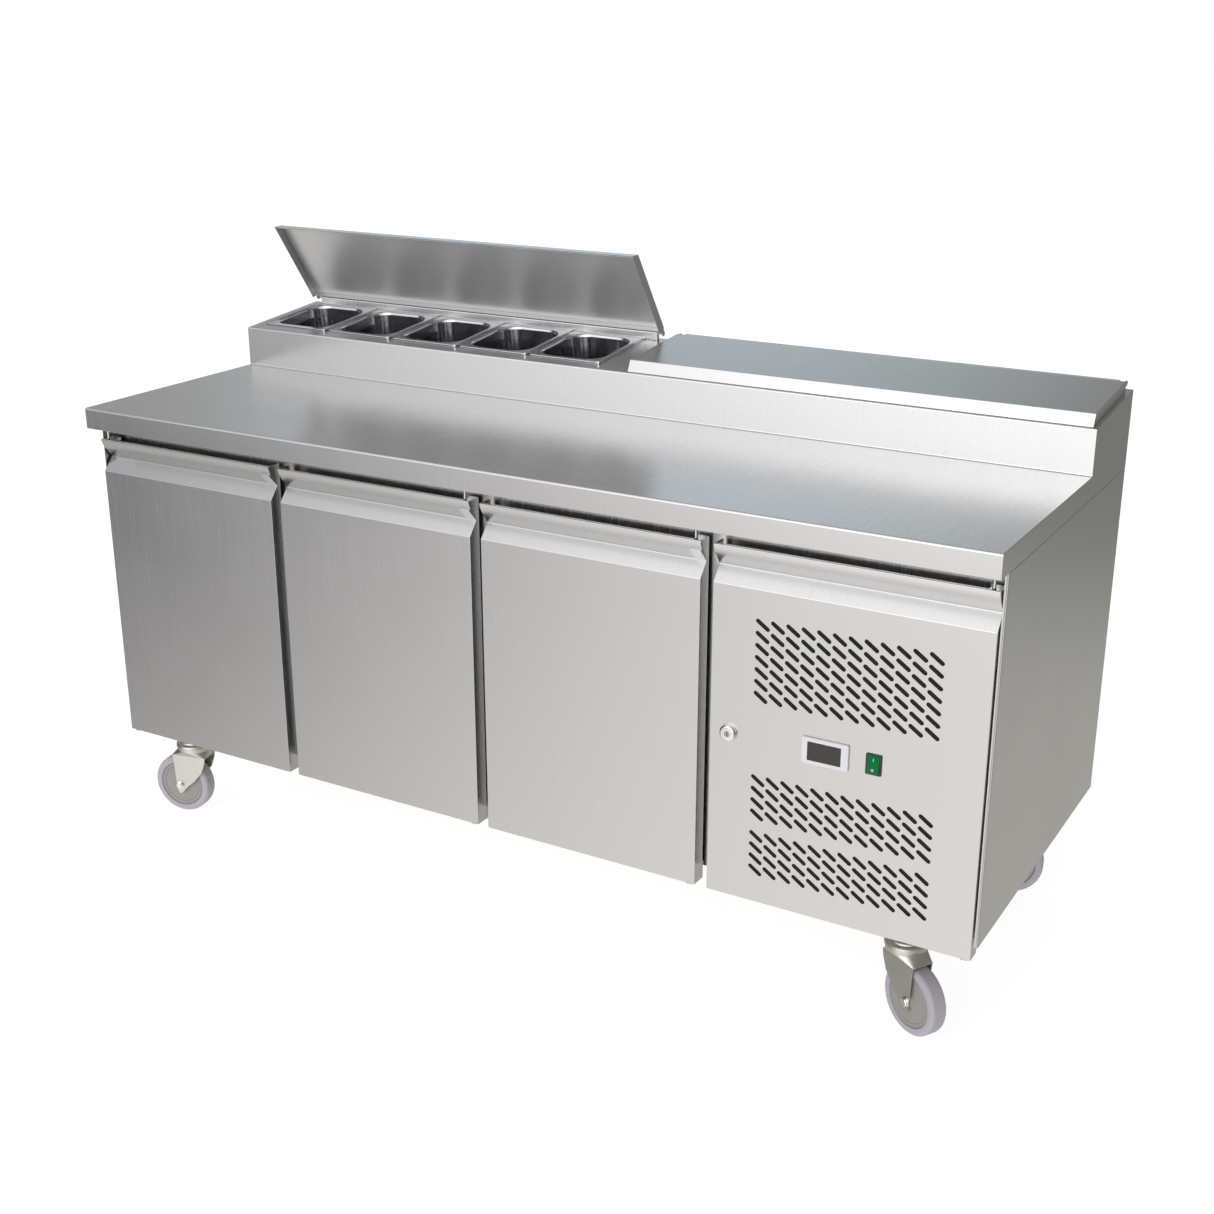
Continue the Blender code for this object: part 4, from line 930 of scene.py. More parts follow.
def build_filter(low, back, lock_z):
    """Thin black dust pads held against the inside of the door behind its slots."""
    x0 = low.x + VENT_LEFT - FILTER_EDGE
    x1 = low.x + VENT_LEFT + (VENT_COLUMNS - 1) * VENT_PITCH + FILTER_EDGE
    (top, rows, pitch), (middle, _, _), (bottom, last_rows, last_pitch) = VENT_BLOCKS
    pads = Shape()
    for z0, z1 in ((top + (rows - 1) * pitch, top), (bottom + (last_rows - 1) * last_pitch, middle)):
        pads.block((x0, back + GAP, lock_z + z0 - FILTER_EDGE),
                   (x1, back + GAP + FILTER_THICK, lock_z + z1 + FILTER_EDGE), 0.0008)
    piece("bay_door_filter", pads, FILTER, "bay_door")


def facing(x, y, z):
    """Frame on the bay door's face: x across, y up, z out of the door."""
    return Matrix.Translation((x, y, z)) @ Matrix.Rotation(math.pi / 2, 4, "X")


LOCK_THREADS = 14
LOCK_BODY = 0.0300
THREAD_RUN = 0.028


def build_lock():
    """Cam lock: chamfered collar with its threaded body and nut, and the keyed plug with its cam."""
    lock = spot("lock_turn")
    place = facing(*lock)
    profile = [(0.0051, 0.0080), (0.0112, 0.0080), (0.0124, 0.0076), (0.0139, 0.0060), (0.0145, 0.0048),
               (0.0145, 0.0008), (0.0141, 0.0003), (0.0090, 0.0003)]
    for step in range(LOCK_THREADS):
        depth = 0.0003 + THREAD_RUN * (step + 0.5) / LOCK_THREADS
        profile += [(0.0090, -depth + 0.0005), (0.0085, -depth - 0.0005)]
    profile += [(0.0090, -LOCK_BODY), (0.0052, -LOCK_BODY)]
    collar = Shape().lathe(profile, 40, place, True)
    nut = [(0.0089, -0.0060), (0.0135, -0.0060), (0.0135, -0.0020), (0.0089, -0.0020)]
    collar.lathe(nut, 6, place, True)
    piece("lock_collar_ring", collar, CHROME, "bay_door", ("lock_collar",))
    build_plug(lock, place)


def build_plug(lock, place):
    """Plug of the lock with its key slot, cam and cam screw."""
    low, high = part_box("lock_barrel")
    back = lock.y - high.y
    tip = low.z - lock.z
    profile = [(0, 0.0076), (0.0044, 0.0076), (0.0048, 0.0072), (0.0048, back), (0, back)]
    plug = Shape().lathe(profile, 32, place)
    key = rounded(-0.0010, 0.0010, -0.0036, 0.0036, 0.0009, 3)
    plug.cut(Shape().prism([key], 0.0005, 0.0090, "z", matrix=place))
    cam = fillet([(-0.0045, 0.0045, 0.0030), (-0.0045, tip, 0.0030), (0.0045, tip, 0.0030),
                  (0.0045, 0.0045, 0.0030)])
    plug.prism([cam], back + 0.0001, back + 0.0029, "z", 0.0004, place)
    plug.lathe(disc(0.0040, -0.0005, 0.0012), 6, place @ Matrix.Translation((0, 0, back + 0.0005)))
    piece("lock_barrel_plug", plug, NICKEL, "lock_barrel", ("lock_barrel",))


def build_controller():
    """Temperature controller: soft-edged bezel, four membrane keys beside a smoked window."""
    low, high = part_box("controller_bezel")
    screen_low, screen_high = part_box("controller_screen")
    face_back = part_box("bay_door")[0].y + LIP_OUT - GAP
    rows = ((0.0, face_back, 0.0030), (0.0, low.y + 0.0016, 0.0030), (0.0006, low.y + 0.0006, 0.0028),
            (0.0018, low.y + 0.0001, 0.0024), (0.0036, low.y, 0.0020))
    bezel = Shape().loft(inset_rings(low, high, 5, rows))
    margin = 0.0003
    hole = rounded(screen_low.x - margin, screen_high.x + margin, screen_low.z - margin,
                   screen_high.z + margin, 0.0012, 3)
    bezel.cut(Shape().prism([hole], low.y - 0.002, screen_high.y + 0.0002, "y"))
    bezel.block((low.x + 0.005, face_back - 0.001, low.z + 0.006),
                (high.x - 0.005, high.y, high.z - 0.006), 0.0008)
    key_x = (screen_high.x + high.x) / 2
    key_pitch = (high.z - low.z) * 0.19
    for row in range(4):
        z = (low.z + high.z) / 2 + key_pitch * (1.5 - row)
        bezel.rod((key_x, low.y + 0.0005, z), (key_x, low.y - 0.0002, z), 0.0024, 20, 0.0002)
    piece("controller_bezel_frame", bezel, PALE, "bay_door", ("controller_bezel",))
    pane = rounded(screen_low.x, screen_high.x, screen_low.z, screen_high.z, 0.0010, 3)
    glass = Shape().prism([pane], screen_low.y, screen_high.y, "y", 0.0002)
    piece("controller_window", glass, SCREEN, "bay_door", ("controller_screen",))


def build_switch():
    """Rocker switch: black snap-in bezel round a lit rocker."""
    low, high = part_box("switch_bezel")
    rocker_low, rocker_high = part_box("switch_rocker")
    pivot = spot("switch_rock")
    face_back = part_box("bay_door")[0].y + LIP_OUT - GAP
    rows = ((0.0, face_back, 0.0022), (0.0, low.y + 0.0010, 0.0022), (0.0006, low.y + 0.0002, 0.0020),
            (0.0016, low.y, 0.0018))
    bezel = Shape().loft(inset_rings(low, high, 4, rows))
    bezel.block((low.x + 0.0028, face_back - 0.001, low.z + 0.0028),
                (high.x - 0.0028, high.y, high.z - 0.0028), 0.0005)
    half_w = (rocker_high.x - rocker_low.x) / 2
    half_h = (rocker_high.z - rocker_low.z) / 2
    well = Shape().block((pivot.x - half_w - GAP, low.y - 0.003, pivot.z - half_h - 0.0013),
                         (pivot.x + half_w + GAP, pivot.y + 0.010, pivot.z + half_h + 0.0013))
    bezel.cut(well)
    piece("switch_bezel_frame", bezel, BLACK, "bay_door", ("switch_bezel",))
    build_rocker(pivot, half_w, half_h - GAP)


def build_rocker(pivot, half_w, half):
    """Dished rocker, tilted to its rest, with a raised bar and ring."""
    tilt = math.radians(JOINTS["switch_rock"]["range_deg"][1] / 2)
    place = Matrix.Translation(pivot) @ Matrix.Rotation(-tilt, 4, "X")
    loop = [(-0.0086, -half), (-0.0076, -half * 0.5), (-0.0072, 0), (-0.0076, half * 0.5), (-0.0086, half),
            (0.0040, half), (0.0058, 0), (0.0040, -half)]
    rocker = Shape().prism([loop], -half_w, half_w, "x", 0.0006, place)
    piece("switch_rocker_key", rocker, GREEN, "switch_rocker", ("switch_rocker",))
    marks = Shape()
    marks.block((-0.0004, -0.0082, half * 0.36), (0.0004, -0.0065, half * 0.70), 0.0001, place)
    ring = [(0.0013, 0.0), (0.0020, 0.0), (0.0020, 0.0011), (0.0013, 0.0011)]
    ring_place = Matrix.Translation((0, -0.0074, -half * 0.60)) @ Matrix.Rotation(math.pi / 2, 4, "X")
    marks.lathe(ring, 24, place @ ring_place, True)
    piece("switch_rocker_marks", marks, WHITE, "switch_rocker")


# ================================================================ case

BULKHEAD_LOW, BULKHEAD_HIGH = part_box("bulkhead")
LEDGE_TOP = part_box("shelf_1")[0].z - GAP
LEDGE_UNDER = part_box("shelf_1")[0].z - 0.0043
LEDGE_REAR = 0.280
HINGES = ("door_1_hinge", "door_2_hinge", "door_3_hinge", "bay_door_hinge")
FRAME_DEEP = 0.020
HEM_LEFT = 0.0030
HEM_RIGHT = 0.0056
BAY_HEM = 0.030
WALL = 0.045
OPENING_INSET = 0.0265
HINGE_PLATE = (0.8462, 0.8492)


def panel(name, shape, look=STEEL):
    piece(f"{name}_sheet", shape, look, "cabinet", (name,))


def ledge(shape, x0, x1, y0, y1):
    """Shallow ledge that a shelf rests on."""
    shape.block((x0, y0, LEDGE_UNDER), (x1, y1, LEDGE_TOP), 0.0006)


def screw(shape, x, y, z, out, radius=0.0040):
    """Pan-head screw with a cross recess, facing along out."""
    turn = Vector((0, 0, 1)).rotation_difference(Vector(out)).to_matrix().to_4x4()
    place = Matrix.Translation((x, y, z)) @ turn
    shape.lathe([(0, -0.0010), (radius, -0.0010), (radius, 0.0002), (radius * 0.92, 0.0010),
                 (radius * 0.60, 0.0017), (0, 0.0020)], 20, place)


def build_sides():
    """Left wall: foamed slab with folded sheet; right wall: single sheet of the machine bay."""
    inner_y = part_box("bulkhead")[0].y
    for name, sign, hem in (("side_panel_left", -1, HEM_LEFT), ("side_panel_right", 1, HEM_RIGHT)):
        low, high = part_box(name)
        face = low.x if sign < 0 else high.x
        skin = face - sign * SHEET
        turned_in = face - sign * hem
        loop = [(face, low.y, hem - 0.0004), (turned_in, low.y, 0.0), (turned_in, low.y + SHEET, 0.0),
                (skin, low.y + SHEET, 0.0)]
        if sign < 0:
            inner = face - sign * WALL
            loop += [(skin, inner_y, 0.0), (inner, inner_y, 0.0), (inner, high.y, 0.0),
                     (face, high.y, 0.0015)]
        else:
            back = face - sign * BAY_HEM
            loop += [(skin, high.y - SHEET, 0.0), (back, high.y - SHEET, 0.0), (back, high.y, 0.0),
                     (face, high.y, 0.0015)]
        if sign < 0:
            loop = loop[::-1]
        wall = Shape().prism([fillet(loop)], low.z, high.z, "z", 0.0003)
        if sign < 0:
            ledge(wall, inner - 0.0005, inner + 0.012, inner_y + 0.02, LEDGE_REAR)
        panel(name, wall, STEEL_SIDE)


def build_back():
    """Rear panel: foamed behind the cold space, single vented sheet behind the machine bay."""
    low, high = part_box("back_panel")
    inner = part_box("bulkhead")[1].y + GAP
    split = BULKHEAD_HIGH.x + GAP
    loop = [(low.x, inner), (split, inner), (split, high.y - 0.002), (high.x, high.y - 0.002),
            (high.x, high.y), (low.x, high.y)]
    wall = Shape().prism([loop], low.z, high.z, "z", 0.0003)
    slots = []
    for row in range(6):
        for column in range(2):
            x = split + 0.060 + 0.070 + 0.170 * column
            slots.append(obround(x, low.z + 0.072 + 0.030 * row, 0.140, 0.010, 0.0))
    wall.cut(Shape().prism(slots, high.y - 0.010, high.y + 0.010, "y"))
    ledge(wall, low.x + 0.020, BULKHEAD_LOW.x - 0.012, inner - 0.014, inner + 0.0005)
    panel("back_panel", wall)


def build_bottom():
    """Foamed floor of the cold space, and the thin floor of the machine bay."""
    low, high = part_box("bottom_panel")
    split = BULKHEAD_HIGH.x + GAP
    floor = Shape()
    floor.block((low.x, low.y, low.z), (split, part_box("bulkhead")[1].y, high.z), 0.0006)
    floor.block((split - 0.001, low.y, low.z), (high.x, high.y, low.z + 0.004), 0.0006)
    panel("bottom_panel", floor, LINER)


def build_bulkhead():
    """Wall between the cold space and the machine bay, with the ceiling of the bay."""
    low, high = BULKHEAD_LOW, BULKHEAD_HIGH
    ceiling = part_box("bay_door")[1].z - 0.019
    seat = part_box("bottom_panel")[1].z + GAP
    x0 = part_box("shelf_3")[1].x + 0.0085
    x1 = x0 + 0.045 - GAP
    loop = [(x0, seat), (x1, seat), (x1, ceiling), (high.x, ceiling), (high.x, high.z), (x0, high.z)]
    wall = Shape().prism([loop], low.y, high.y, "y", 0.0005)
    ledge(wall, x0 - 0.012, x0 + 0.0005, low.y + 0.02, LEDGE_REAR)
    panel("bulkhead", wall, LINER)


def build_frame():
    """Front frame with soft-cornered openings, and ledges for the shelves behind its posts."""
    low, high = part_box("front_frame")
    back = BULKHEAD_LOW.y - GAP
    front = back - FRAME_DEEP
    bottom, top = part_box("bottom_panel")[0].z, BULKHEAD_HIGH.z
    outer = [(low.x, bottom), (high.x, bottom), (high.x, top), (low.x, top)]
    openings = []
    for name in (*DOORS, "bay_door"):
        door_low, door_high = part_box(name)
        x0 = max(door_low.x + OPENING_INSET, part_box("side_panel_left")[0].x + WALL)
        x1 = door_high.x - OPENING_INSET
        openings.append(rounded(x0, x1, bottom + WALL, door_high.z - 0.039, 0.010, 5))
    body = Shape().prism([outer] + openings, front, back, "y", 0.0005)
    for a, b in zip(DOORS, DOORS[1:]):
        x = (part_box(a)[1].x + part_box(b)[0].x) / 2
        ledge(body, x - 0.028, x + 0.028, back - 0.0005, back + 0.016)
    panel("front_frame", body)
    build_hinges(front, bottom)


def build_hinges(front, bottom):
    """Hinge plates above each door, feet below it, and bright pins."""
    plates = Shape()
    pins = Shape()
    for hinge in HINGES:
        pivot = spot(hinge)
        door_low, door_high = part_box(hinge.removesuffix("_hinge"))
        x, y = pivot.x, pivot.y
        root = front + 0.0005
        plate = [(x - 0.010, root, 0.0), (x - 0.010, y, 0.0), (x - 0.0095, y - 0.0050, 0.0060),
                 (x + 0.0095, y - 0.0050, 0.0060), (x + 0.010, y, 0.0), (x + 0.010, root, 0.0)]
        tongue = [(x - 0.008, root, 0.0), (x - 0.006, y, 0.0), (x - 0.0050, y - 0.0040, 0.0035),
                  (x + 0.0050, y - 0.0040, 0.0035), (x + 0.006, y, 0.0), (x + 0.008, root, 0.0)]
        plates.prism([fillet(plate[::-1])], *HINGE_PLATE, "z", 0.0003)
        plates.block((x - 0.010, front - 0.0025, door_low.z - 0.0040),
                     (x + 0.010, root, bottom + 0.0085), 0.0006)
        plates.prism([fillet(tongue[::-1])], door_low.z - 0.0031, door_low.z - 0.0007, "z", 0.0003)
        pins.rod((x, y, 0.8465), (x, y, door_high.z - 0.0145), PIN_R, 24, 0.0006)
        pins.rod((x, y, door_low.z - 0.0030), (x, y, door_low.z + 0.0095), PIN_R, 24, 0.0006)
        pins.lathe([(0.0029, 0.8452), (0.0048, 0.8452), (0.0048, 0.8463), (0.0029, 0.8463)], 24,
                   Matrix.Translation((x, y, 0)), True)
    piece("hinge_plates", plates, STEEL, "cabinet")
    piece("hinge_pins", pins, CHROME, "cabinet")


def build_shelf(name):
    """Wire shelf: heavy rim and two runners under close cross wires."""
    low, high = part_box(name)
    rim = 0.0029
    wire = 0.0014
    shelf = Shape()
    corners = rounded(low.x + rim, high.x - rim, low.y + rim, high.y - rim, 0.010, 4)
    z = low.z + rim
    shelf.pipe([(u, v, z) for u, v in corners], rim, closed=True)
    for share in (0.32, 0.68):
        y = low.y + (high.y - low.y) * share
        shelf.rod((low.x + rim, y, low.z + 0.0016), (high.x - rim, y, low.z + 0.0016), 0.0015, 10)
    count = round((high.x - low.x) / 0.024)
    for step in range(1, count):
        x = low.x + (high.x - low.x) * step / count
        shelf.rod((x, low.y + rim, z + 0.0012), (x, high.y - rim, z + 0.0012), wire, 8)
    piece(f"{name}_wires", shelf, WIRE, "cabinet", (name,))


# ================================================================ castors

CORNERS = ("front_left", "front_right", "rear_left", "rear_right")
BOLT_OUT = 0.033
LEG_FACE = 0.0216
LEG_THICK = 0.0024


def build_castor(corner):
    """Castor whose fork trails from its swivel towards its wheel."""
    name = f"castor_{corner}"
    swivel = spot(f"{name}_swivel")
    wheel = spot(f"{name}_roll")
    heading = math.atan2(wheel.y - swivel.y, wheel.x - swivel.x)
    trail = (wheel.xy - swivel.xy).length
    stand = Matrix.Translation((swivel.x, swivel.y, 0)) @ Matrix.Rotation(heading, 4, "Z")
    build_mount(name, swivel)
    build_fork(name, stand, trail, wheel.z)
    hub = stand @ Matrix.Translation((trail, 0, wheel.z))
    build_wheel(name, hub @ Matrix.Rotation(math.pi / 2, 4, "X"))


def build_mount(name, swivel):
    """Top plate with four bolts, pressed dome over the upper race, and the king bolt."""
    low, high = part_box(f"{name}_mount")
    place = Matrix.Translation((swivel.x, swivel.y, 0))
    half, under = 0.045, high.z - 0.006
    bolts = [(sx, sy) for sx in (-1, 1) for sy in (-1, 1)]
    outline = rounded(-half, half, -half, half, 0.010, 5)
    holes = [obround(sx * BOLT_OUT, sy * BOLT_OUT, 0.0120, 0.0086, sx * sy * math.pi / 4)
             for sx, sy in bolts]
    mount = Shape().prism([outline] + holes, under, high.z, "z", 0.0008, place)
    for sx, sy in bolts:
        bolt = place @ Matrix.Translation((sx * BOLT_OUT, sy * BOLT_OUT, under))
        mount.lathe(disc(0.0082, 0.0002, -0.0010), 24, bolt)
        mount.lathe([(0, -0.0008), (0.0066, -0.0008), (0.0066, -0.0048), (0.0058, -0.0056), (0, -0.0056)],
                    6, bolt)
    dome = [(0, high.z - 0.005), (0.0310, high.z - 0.005), (0.0318, high.z - 0.0072),
            (0.0290, high.z - 0.0150), (0.0215, high.z - 0.0250), (0.0165, high.z - 0.0350),
            (0.0155, 0.1790), (0.0175, 0.1740), (0.0230, 0.1728), (0.0250, 0.1716), (0.0258, 0.1700),
            (0.0258, 0.1672), (0.0250, 0.1664), (0.0060, 0.1664), (0.0060, low.z + 0.0012),
            (0.0050, low.z), (0, low.z)]
    mount.lathe(dome, 40, place)
    piece(f"{name}_mount_plate", mount, ZINC, "cabinet", (f"{name}_mount",))


def build_fork(name, stand, trail, axle_z):
    """Pressed fork: lower race, a crown that flares from round to square, and two tapering legs."""
    race = [(0.0063, 0.1654), (0.0272, 0.1654), (0.0290, 0.1642), (0.0296, 0.1618), (0.0318, 0.1610),
            (0.0348, 0.1606), (0.0366, 0.1590), (0.0372, 0.1562), (0.0372, 0.1532), (0.0364, 0.1512),
            (0.0345, 0.1452), (0.0063, 0.1452)]
    fork = Shape().lathe(race, 48, stand, True)
    fork.loft(crown_rings(), stand)
    foot = axle_z - 0.0195
    leg = fillet([(-0.0335, 0.1315, 0.0), (-0.0318, 0.1190, 0.0), (-0.0230, 0.0960, 0.010),
                  (-0.0040, 0.0740, 0.0), (trail - 0.0180, axle_z - 0.0020, 0.0),
                  (trail - 0.0030, foot + 0.0010, 0.004), (trail + 0.0040, foot, 0.003),
                  (trail + 0.0078, foot + 0.0080, 0.006), (trail + 0.0088, axle_z + 0.0020, 0.0),
                  (0.0405, 0.0950, 0.0), (0.0418, 0.1180, 0.0), (0.0435, 0.1315, 0.0)], 5)
    for side in (-1, 1):
        low, high = sorted((side * LEG_FACE, side * (LEG_FACE - LEG_THICK)))
        fork.prism([leg[::-1]], low, high, "y", 0.0006, stand)
    build_axle(name, stand, trail, axle_z)
    piece(f"{name}_fork_pressing", fork, ZINC, f"{name}_fork", (f"{name}_fork",))


def build_axle(name, stand, trail, axle_z):
    """Axle of the wheel with a washer and a nut against each leg."""
    axle = Shape()
    for side in (-1, 1):
        turn = Matrix.Rotation(-side * math.pi / 2, 4, "X")
        head = stand @ Matrix.Translation((trail, side * LEG_FACE, axle_z)) @ turn
        axle.lathe([(0, 0.0001), (0.0086, 0.0001), (0.0090, 0.0004), (0.0086, 0.0009), (0, 0.0009)],
                   28, head)
        axle.lathe([(0, 0.0008), (0.0076, 0.0008), (0.0080, 0.0014), (0.0080, 0.0044), (0.0070, 0.0052),
                    (0, 0.0052)], 6, head)
    axle.rod((trail, -0.0266, axle_z), (trail, 0.0266, axle_z), 0.0048, 20, 0.0006, stand)
    piece(f"{name}_axle", axle, CHROME, f"{name}_fork")


def crown_rings():
    """Rings of the crown, round at the race and square above the legs: outside down, then inside up."""
    centre = 0.0050
    steps = ((0.0340, 0.0340, 0.0339, 0.1456, 0.0), (0.0346, 0.0332, 0.0322, 0.1440, 0.10),
             (0.0366, 0.0285, 0.0225, 0.1385, 0.50), (0.0384, 0.0228, 0.0080, 0.1325, 0.95),
             (0.0390, 0.0218, 0.0055, 0.1312, 1.0), (0.0392, 0.0219, 0.0052, 0.1305, 1.0),
             (0.0390, 0.0218, 0.0050, 0.1296, 1.0), (0.0370, 0.0196, 0.0040, 0.1296, 1.0),
             (0.0368, 0.0194, 0.0040, 0.1310, 1.0))
    return [ring_at(2 * half_u, 2 * half_v, min(radius, half_u - 1e-4, half_v - 1e-4), z, 7,
                    (centre * shift, 0)) for half_u, half_v, radius, z, shift in steps]


def build_wheel(name, lay):
    """Two-part wheel: moulded centre with a raised boss and rim line, and a round-shouldered tyre."""
    radius = lay.to_translation().z
    hub = [(0.0051, 0.0180), (0.0098, 0.0180), (0.0108, 0.0174), (0.0120, 0.0150), (0.0150, 0.0142),
           (0.0385, 0.0140), (0.0392, 0.0134), (0.0399, 0.0134), (0.0406, 0.0142), (0.0440, 0.0146),
           (0.0463, 0.0146), (0.0475, 0.0138)]
    mirrored = [(r, -z) for r, z in reversed(hub)]
    centre = Shape().lathe(hub + mirrored, 56, lay, True)
    piece(f"{name}_wheel_centre", centre, HUB, f"{name}_wheel", (f"{name}_hub",))
    half, rim, soft = 0.0160, 0.0478, 0.0068
    tyre = [(rim, half - 0.0022), (rim + 0.0010, half - 0.0006), (rim + 0.0030, half)]
    for step in range(7):
        a = math.pi / 2 * (1 - step / 6)
        tyre.append((radius - soft + soft * math.cos(a), half - soft + soft * math.sin(a)))
    tyre.append((radius - 0.00005, 0.0008))
    mirrored = [(r, -z) for r, z in reversed(tyre)]
    tread = Shape().lathe(tyre + mirrored, 72, lay, True)
    piece(f"{name}_tyre_tread", tread, TYRE, f"{name}_wheel", (f"{name}_tyre",))


# ================================================================ refrigeration

BLADE_STEPS = 7
FIN_THICK = 0.00035


def build_fan(node, blades):
    """Axial fan with swept, twisted blades on a domed hub."""
    axis = Vector(JOINTS[f"{node}_spin"]["axis"])
    low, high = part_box(node)
    centre = spot(f"{node}_spin")
    depth = min(high - low)
    radius = max(high - low) / 2 - 0.0008
    hub = radius * 0.25
    turn = Vector((0, 0, 1)).rotation_difference(axis).to_matrix().to_4x4()
    place = Matrix.Translation(centre) @ turn
    fan = Shape()
    fan.lathe([(0, depth * 0.46), (hub * 0.55, depth * 0.45), (hub * 0.86, depth * 0.36),
               (hub, depth * 0.18), (hub, -depth * 0.44), (hub * 0.9, -depth * 0.48),
               (0, -depth * 0.48)], 32, place)
    for number in range(blades):
        start = math.tau * number / blades
        fan.loft([blade_ring(start, step / BLADE_STEPS, hub, radius, depth, blades)
                  for step in range(BLADE_STEPS + 1)], place)
    piece(f"{node}_blades", fan, BLACK, node, (node,))


def blade_ring(start, share, hub, radius, depth, blades):
    """Section of a blade at a share of its reach: a cambered strip across the air's way."""
    r = hub * 0.85 + (radius - hub * 0.85) * share
    span = math.tau / blades * (0.36 + 0.16 * math.sin(math.pi * min(1, share * 1.1)))
    sweep = start + 0.30 * share
    lift = depth * (0.42 - 0.12 * share)
    edge = []
    for k in range(9):
        t = k / 8 * 2 - 1
        edge.append((sweep + span / 2 * t, lift * t * (1 - 0.12 * t * t)))
    thick = 0.0009 - 0.0004 * share
    ring = [(r * math.cos(a), r * math.sin(a), z + thick) for a, z in edge]
    return ring + [(r * math.cos(a), r * math.sin(a), z - thick) for a, z in reversed(edge)]


def fin_pack(shape, low, high, along, pitch):
    """Stack of thin plates, packed along one axis."""
    start, end = low[along], high[along]
    count = int((end - start) / pitch)
    for step in range(count + 1):
        at = start + (end - start) * step / count
        a, b = Vector(low), Vector(high)
        a[along], b[along] = at - FIN_THICK / 2, at + FIN_THICK / 2
        a[along] = max(a[along], start)
        b[along] = min(b[along], end)
        shape.block(a, b)


def coil(low, high, along, wide, up, rows, columns, radius, proud):
    """Serpentine tube through a fin pack, its bends standing proud at both ends."""
    runs = Shape()
    for column in range(columns):
        w = low[wide] + (high[wide] - low[wide]) * (column + 0.5) / columns
        path = []
        for row in range(rows):
            h = low[up] + (high[up] - low[up]) * (row + 0.5) / rows
            ends = (low[along] - 0.003, high[along] + 0.003)
            if row % 2:
                ends = ends[::-1]
            for at in ends:
                point = [0.0, 0.0, 0.0]
                point[along], point[wide], point[up] = at, w, h
                path.append(tuple(point))
            if row < rows - 1:
                gap = (high[up] - low[up]) / rows
                out = 1 if ends[1] > ends[0] else -1
                for step in range(1, 6):
                    a = math.pi * step / 6
                    point = [0.0, 0.0, 0.0]
                    point[along] = ends[1] + out * proud * math.sin(a)
                    point[wide] = w
                    point[up] = h + gap * (1 - math.cos(a)) / 2
                    path.append(tuple(point))
        runs.pipe(path, radius, resolution=2)
    return runs


def build_evaporator():
    """Finned cold coil with its tubes, cover and fan."""
    low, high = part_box("evaporator")
    pack = Shape()
    ends = 0.012
    fin_pack(pack, (low.x + 0.004, low.y + ends, low.z + 0.002),
             (high.x - 0.002, high.y - ends, high.z - 0.002), 1, 0.0042)
    for y in (low.y + ends - 0.0012, high.y - ends + 0.0002):
        pack.block((low.x + 0.001, y, low.z), (high.x, y + 0.0012, high.z), 0.0002)
    pack.block((high.x - 0.0016, low.y + ends, low.z), (high.x, high.y - ends, high.z), 0.0002)
    piece("evaporator_fins", pack, FINS, "cabinet", ("evaporator",))
    tubes = coil((low.x + 0.010, low.y + 0.011, low.z), (high.x - 0.010, high.y - 0.011, high.z),
                 1, 0, 2, 8, 3, 0.0035, 0.0048)
    piece("evaporator_tubes", tubes, COPPER, "cabinet")
    build_cover()
    build_fan("evaporator_fan", 5)


def build_cover():
    """Moulded cover of the evaporator with its ring guard and the fan's motor behind it."""
    low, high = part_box("evaporator_cover")
    centre = spot("evaporator_fan_spin")
    fan_low, fan_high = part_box("evaporator_fan")
    opening = (fan_high.z - fan_low.z) / 2 + 0.004
    rect = rounded(low.y, high.y, low.z, high.z, 0.010, 4)
    cover = Shape().prism([rect, circle(centre.y, centre.z, opening, 48)], low.x, high.x, "x", 0.0016)
    for radius in (0.018, 0.030, 0.042, 0.054):
        loop = [(low.x + 0.0022, centre.y + radius * math.cos(a), centre.z + radius * math.sin(a))
                for a in [math.tau * k / 40 for k in range(40)]]
        cover.pipe(loop, 0.0011, closed=True, resolution=1)
    for number in range(6):
        a = math.tau * number / 6 + 0.3
        inner, outer = [(low.x + 0.0026, centre.y + r * math.cos(a), centre.z + r * math.sin(a))
                        for r in (0.012, opening + 0.002)]
        cover.rod(inner, outer, 0.0012, 8)
    cover.block((high.x - 0.008, centre.y - opening - 0.004, centre.z - 0.003),
                (high.x - 0.004, centre.y + opening + 0.004, centre.z + 0.003), 0.0006)
    cover.rod((centre.x + 0.0085, centre.y, centre.z), (high.x - 0.0035, centre.y, centre.z),
              0.018, 28, 0.0015)
    for y in (low.y + 0.012, high.y - 0.012):
        for z in (low.z + 0.012, high.z - 0.012):
            screw(cover, low.x + 0.0002, y, z, (-1, 0, 0), 0.0035)
    piece("evaporator_cover_shell", cover, WHITE, "cabinet", ("evaporator_cover",))


